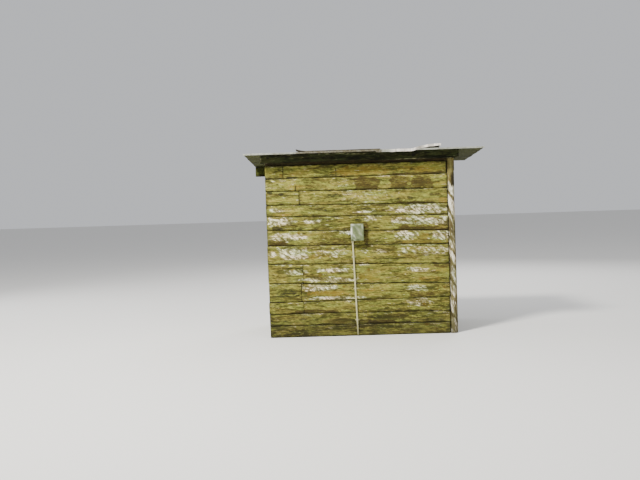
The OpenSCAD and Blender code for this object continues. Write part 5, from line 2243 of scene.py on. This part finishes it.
    def lever(self) -> None:
        """Make the lever: a round hub and a rounded arm, carried out from the case's side."""
        low, high, middle, half = centred(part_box("box_lever"))
        radius, worn = half[2], self.arm_edge
        reach, arm_from = high[0] - low[0], 0.6 * (high[0] - low[0])
        sizes = [radius, radius, radius * 0.8, radius * 0.8]
        loops = [round_loop(size, size, size - 0.1 * MM, 10) for size in sizes]
        levels = [0, 2 * MM, 3 * MM, arm_from + 1 * MM]
        hub = loft(loops, levels, LEFTWARDS, (high[0], high[1] - radius, middle[2]))
        turns = np.radians([0, 30, 60, 90])[1:]
        insets = [1 * MM, 0, *(worn * (1 - np.cos(turns)))]
        loops = [round_loop(half[1] - inset, radius - inset, radius - inset - 0.1 * MM, 10)
                 for inset in insets]
        levels = [arm_from, arm_from + 1 * MM, *(reach - worn + worn * np.sin(turns))]
        arm = loft(loops, levels, LEFTWARDS, (high[0], middle[1], middle[2]))
        arm.marks["silver"] = rise(high[0] - arm.points[:, 0] - reach + 4 * MM, 0, 3 * MM)
        make_piece("switch_lever", [hub, arm], metal(LEVER_PAINT), ("box_lever",))

    def tube(self, node: Object) -> tuple[Array, Array]:
        """Make the tube: circles along its bent line, with a locknut and a collar at the box.

        Args:
            node: CAD node of the tube.

        Returns:
            The upper and the lower end of its line.
        """
        points = node_points(node)
        top = points[points[:, 2] > points[:, 2].max() - 12 * MM].mean(axis=0)
        foot = points[points[:, 2] < points[:, 2].min() + 12 * MM].mean(axis=0)
        length, line = np.linalg.norm(foot - top), (foot - top) / np.linalg.norm(foot - top)
        radius = np.ptp(points[points[:, 2] < foot[2] + 12 * MM][:, 1]) / 2
        side = np.cross(line, [0, 1.0, 0])
        side /= np.linalg.norm(side)
        at = np.linspace(0, length, 110)
        bend = self.tube_bend * ripple(at * 1.6, 0.3, 901) * rise(at, 0, 0.2)
        middle = top + at[:, None] * line + bend[:, None] * side
        wide = radius * (1 - 0.12 * rise(at, length - 3 * MM, length))
        ring = circle(side, np.array([0, 1.0, 0]), self.tube_sides)
        rings = middle[:, None] + wide[:, None, None] * ring
        around = np.linspace(0, 2 * math.pi * radius, self.tube_sides + 1)
        tube = skin(rings, around[None].repeat(len(at), 0), at)
        tube.marks["dark"] = rise(at, length - 0.25, length).repeat(self.tube_sides)
        parts, worn = [tube], 0.8 * MM
        for start, stop, grow, sides in self.sleeves:
            at = np.array([start, start + worn, stop - worn, stop])
            wide = radius + grow - worn * np.array([1, 0, 0, 1])
            ring = circle(side, np.array([0, 1.0, 0]), sides)
            rings = (top + at[:, None] * line)[:, None] + wide[:, None, None] * ring
            around = np.linspace(0, 0.1, sides + 1)
            parts.append(skin(rings, around[None].repeat(len(at), 0), at))
        make_piece("grey_tube", parts, metal(TUBE_ZINC), ("conduit",))
        return top, foot

    def straps(self, node: Object, top: Array, foot: Array) -> None:
        """Make the straps: a bent band, its path offset by its thickness, and two screws each.

        Args:
            node: CAD node of the straps.
            top: Upper end of the tube's line.
            foot: Its lower end.
        """
        parts = []
        radius, high = self.strap_round, self.strap_wide / 2
        turn = np.radians(np.linspace(0, -180, 13))
        for solid in solids_of(node):
            level = (solid[:, 2].min() + solid[:, 2].max()) / 2
            wall, half = solid[:, 1].max(), np.ptp(solid[:, 0]) / 2
            centre = top + (foot - top) * (top[2] - level) / (top[2] - foot[2])
            foot_x = [half, radius + 1 * MM]
            run_x = np.concatenate([foot_x, radius * np.cos(turn), [-x for x in foot_x[::-1]]])
            run_y = np.concatenate([[wall] * 2, centre[1] + radius * np.sin(turn), [wall] * 2])
            path = np.stack([run_x, run_y], axis=1)
            slope = np.gradient(path, axis=0)
            normal = np.stack([slope[:, 1], -slope[:, 0]], axis=1)
            normal /= np.linalg.norm(normal, axis=1)[:, None]
            normal *= np.sign(centre[1] - wall) * np.sign(normal[len(normal) // 2, 1])
            loop = np.concatenate([path, (path + normal * self.strap_thick)[::-1]])
            parts.append(loft([loop, loop], [-high, high], UPWARDS, (centre[0], 0, level)))
            aside, out = (half + radius) / 2, wall - self.strap_thick
            ears = np.array([[centre[0] + x, out, level] for x in (-aside, aside)])
            parts.append(domes(ears, FRONT.outward, self.screw, 1.8 * MM, 12))
        make_piece("tube_straps", parts, metal(TUBE_ZINC), ("conduit_straps",))


@dataclass
class Frame:
    """The sills, floor, posts, studs, plates and rafters, which stay the CAD's own.

    Attributes:
        beams: CAD nodes of the frame.
        edge: Width of their worn edges.
    """

    beams: tuple[str, ...] = (
        "sill_front", "sill_back", "sill_left", "sill_right", "floor_joists", "post_front_left",
        "post_back_left", "post_back_right", "front_studs", "left_stud", "right_studs",
        "top_plate_front", "top_plate_back", "side_rail_left", "side_rail_right", "rafters",
    )
    edge: float = 2.5 * MM

    def build(self, nodes: Nodes) -> None:
        """Give every beam the frame's wood along its own length, and the floor its own.

        Args:
            nodes: The CAD nodes.
        """
        for name in self.beams:
            dress(nodes[name], wood(SHADE_DARK_FRAME_WOOD, grain_of(nodes[name])), self.edge)
        floor = nodes["floor_boards"]
        dress(floor, wood(FLOOR_WOOD, grain_of(floor)), self.edge / 2)


def grain_of(node: Object) -> GrainFrom:
    """Return the axis that a CAD node's first solid is longest along."""
    longest = int(np.argmax(np.ptp(solids_of(node)[0], axis=0)))
    return (GrainFrom.X, GrainFrom.Y, GrainFrom.Z)[longest]


def dress(node: Object, finish: Material, edge: float = 1.5 * MM) -> None:
    """Give a CAD node its material and worn edges.

    Args:
        node: The CAD node, whose mesh stays as it is.
        finish: Its material.
        edge: Width of its worn edges.
    """
    node.data.materials.clear()
    node.data.materials.append(finish)
    bevel = node.modifiers.new("worn_edges", "BEVEL")
    bevel.width, bevel.segments = edge, 2
    bevel.limit_method, bevel.angle_limit = "ANGLE", math.radians(30)
    bevel.harden_normals = True
    LOG.info("%s: dressed", node.name)


# Stage


@dataclass(frozen=True)
class Light:
    """A soft lamp.

    Attributes:
        name: Name of the lamp.
        place: Where it stands.
        power: Its power in watts.
        size: Width of its square face.
        colour: Its colour.
    """

    name: str
    place: Spot
    power: float
    size: float
    colour: Spot = (1.0, 1.0, 1.0)


@dataclass
class Stage:
    """The pale floor, soft light and the camera at the photo's angle.

    Attributes:
        eye: Place of the camera.
        yaw: Turn of the view to the right, in degrees.
        pitch: Tilt of the view upwards, in degrees.
        roll: Roll of the camera, in degrees.
        lens: Focal length in millimetres on a 36 mm film.
        aim: Where the lamps look.
        lights: The lamps.
        world: Strength of the pale surroundings.
        half: Half the floor's width.
    """

    eye: Spot = (-0.3295, -10.572, 1.717)
    yaw: float = -1.08
    pitch: float = -2.87
    roll: float = -1.81
    lens: float = 45.0
    aim: Spot = (0, 0, 1.1)
    lights: tuple[Light, ...] = (
        Light("key", (-4.2, -5.8, 8.8), 2200, 1.6, (1.0, 0.98, 0.92)),
        Light("fill", (6.5, -8.0, 3.5), 160, 5.0, (0.95, 0.98, 1.0)),
        Light("behind", (3.5, 7.5, 6.0), 420, 4.0),
        Light("side", (-7.5, 3.0, 4.0), 200, 4.0),
    )
    world: float = 0.66
    half: float = 60.0

    def build(self) -> None:
        """Make the floor, world, lamps and camera."""
        self.floor()
        self.surroundings()
        for light in self.lights:
            self.lamp(light)
        self.camera()

    def floor(self) -> None:
        """Lay a large plain pale floor."""
        h = self.half
        mesh = bpy.data.meshes.new("floor")
        mesh.from_pydata([(-h, -h, 0), (h, -h, 0), (h, h, 0), (-h, h, 0)], [], [(0, 1, 2, 3)])
        material = bpy.data.materials.new("stage_floor")
        material.use_nodes = True
        shader = material.node_tree.nodes["Principled BSDF"]
        shader.inputs["Base Color"].default_value = (0.72, 0.71, 0.69, 1)
        shader.inputs["Roughness"].default_value = 0.95
        shader.inputs["Specular IOR Level"].default_value = 0.1
        mesh.materials.append(material)
        piece = bpy.data.objects.new("floor", mesh)
        bpy.context.scene.collection.objects.link(piece)

    def surroundings(self) -> None:
        """Make the world a plain pale grey."""
        world = bpy.data.worlds.new("pale_room")
        world.use_nodes = True
        back = world.node_tree.nodes["Background"]
        back.inputs["Color"].default_value = (0.94, 0.96, 1.0, 1)
        back.inputs["Strength"].default_value = self.world
        bpy.context.scene.world = world

    def lamp(self, light: Light) -> None:
        """Hang a lamp that looks at the hut.

        Args:
            light: What the lamp is like.
        """
        data = bpy.data.lights.new(light.name, "AREA")
        data.energy, data.size, data.color = light.power, light.size, light.colour
        lamp = bpy.data.objects.new(light.name, data)
        lamp.location = light.place
        aim = Vector(self.aim) - Vector(light.place)
        lamp.rotation_euler = aim.to_track_quat("-Z", "Y").to_euler()
        bpy.context.scene.collection.objects.link(lamp)

    def camera(self) -> None:
        """Set the camera: its axes are the view's right, up and back, turned by the roll."""
        yaw, pitch, roll = (math.radians(a) for a in (self.yaw, self.pitch, self.roll))
        flat = math.cos(pitch)
        ahead = Vector((math.sin(yaw) * flat, math.cos(yaw) * flat, math.sin(pitch)))
        level = Vector((math.cos(yaw), -math.sin(yaw), 0))
        above = level.cross(ahead)
        right = math.cos(roll) * level + math.sin(roll) * above
        up = math.cos(roll) * above - math.sin(roll) * level
        turned = Matrix((right, up, -ahead)).transposed().to_4x4()
        data = bpy.data.cameras.new("photo_view")
        data.lens, data.sensor_width = self.lens, 36.0
        camera = bpy.data.objects.new("photo_view", data)
        camera.matrix_world = Matrix.Translation(self.eye) @ turned
        bpy.context.scene.collection.objects.link(camera)
        bpy.context.scene.camera = camera


# The whole hut

FRONT_SAWN = Sawn(step=7.5 * MM, rows=18, swell=7.5 * MM, knots=0.8)
SIDE_SAWN = Sawn(step=11 * MM, rows=12, swell=10 * MM)
# The dark tones of the lowest courses and of the top course under the eaves paint the shade they
# lie in.
FRONT_TONES = (0.1, 0.15, 0.35, 0.45, 0.7, 0.7, 0.6, 0.6, 0.6, 0.65, 0.75, 0.45)
WALLS: tuple[Wall, ...] = (
    Wall("front_wall_boards", ("front_siding",), FRONT, ("post_front_left", "front_studs"), 101,
         FRONT_SAWN, pieces=2, patches=FRONT_PATCHES, tones=FRONT_TONES, reach=3.5 * MM),
    Wall("left_wall_boards", ("left_siding",), LEFT,
         ("post_front_left", "left_stud", "post_back_left"), 201, SIDE_SAWN),
    Wall("right_wall_boards", ("right_siding",), RIGHT, ("right_studs", "post_back_right"), 261,
         SIDE_SAWN),
    Wall("back_wall_boards_left", ("back_siding_left",), BACK, ("post_back_left", "door_jambs"),
         321, SIDE_SAWN),
    Wall("back_wall_boards_right", ("back_siding_right",), BACK, ("post_back_right", "door_jambs"),
         361, SIDE_SAWN),
    Wall("boards_over_door", ("back_siding_over_door",), BACK, ("door_jambs",), 391, SIDE_SAWN),
)


def main() -> None:
    """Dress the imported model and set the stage."""
    logging.basicConfig(level=logging.INFO, format="%(name)s: %(message)s", stream=sys.stdout)
    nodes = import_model()["nodes"]
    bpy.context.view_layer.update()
    for part in (*WALLS, CornerPole(), Roof(), Door(), SwitchBox(), Frame()):
        part.build(nodes)
    Stage().build()


if __name__ == "__main__":
    main()
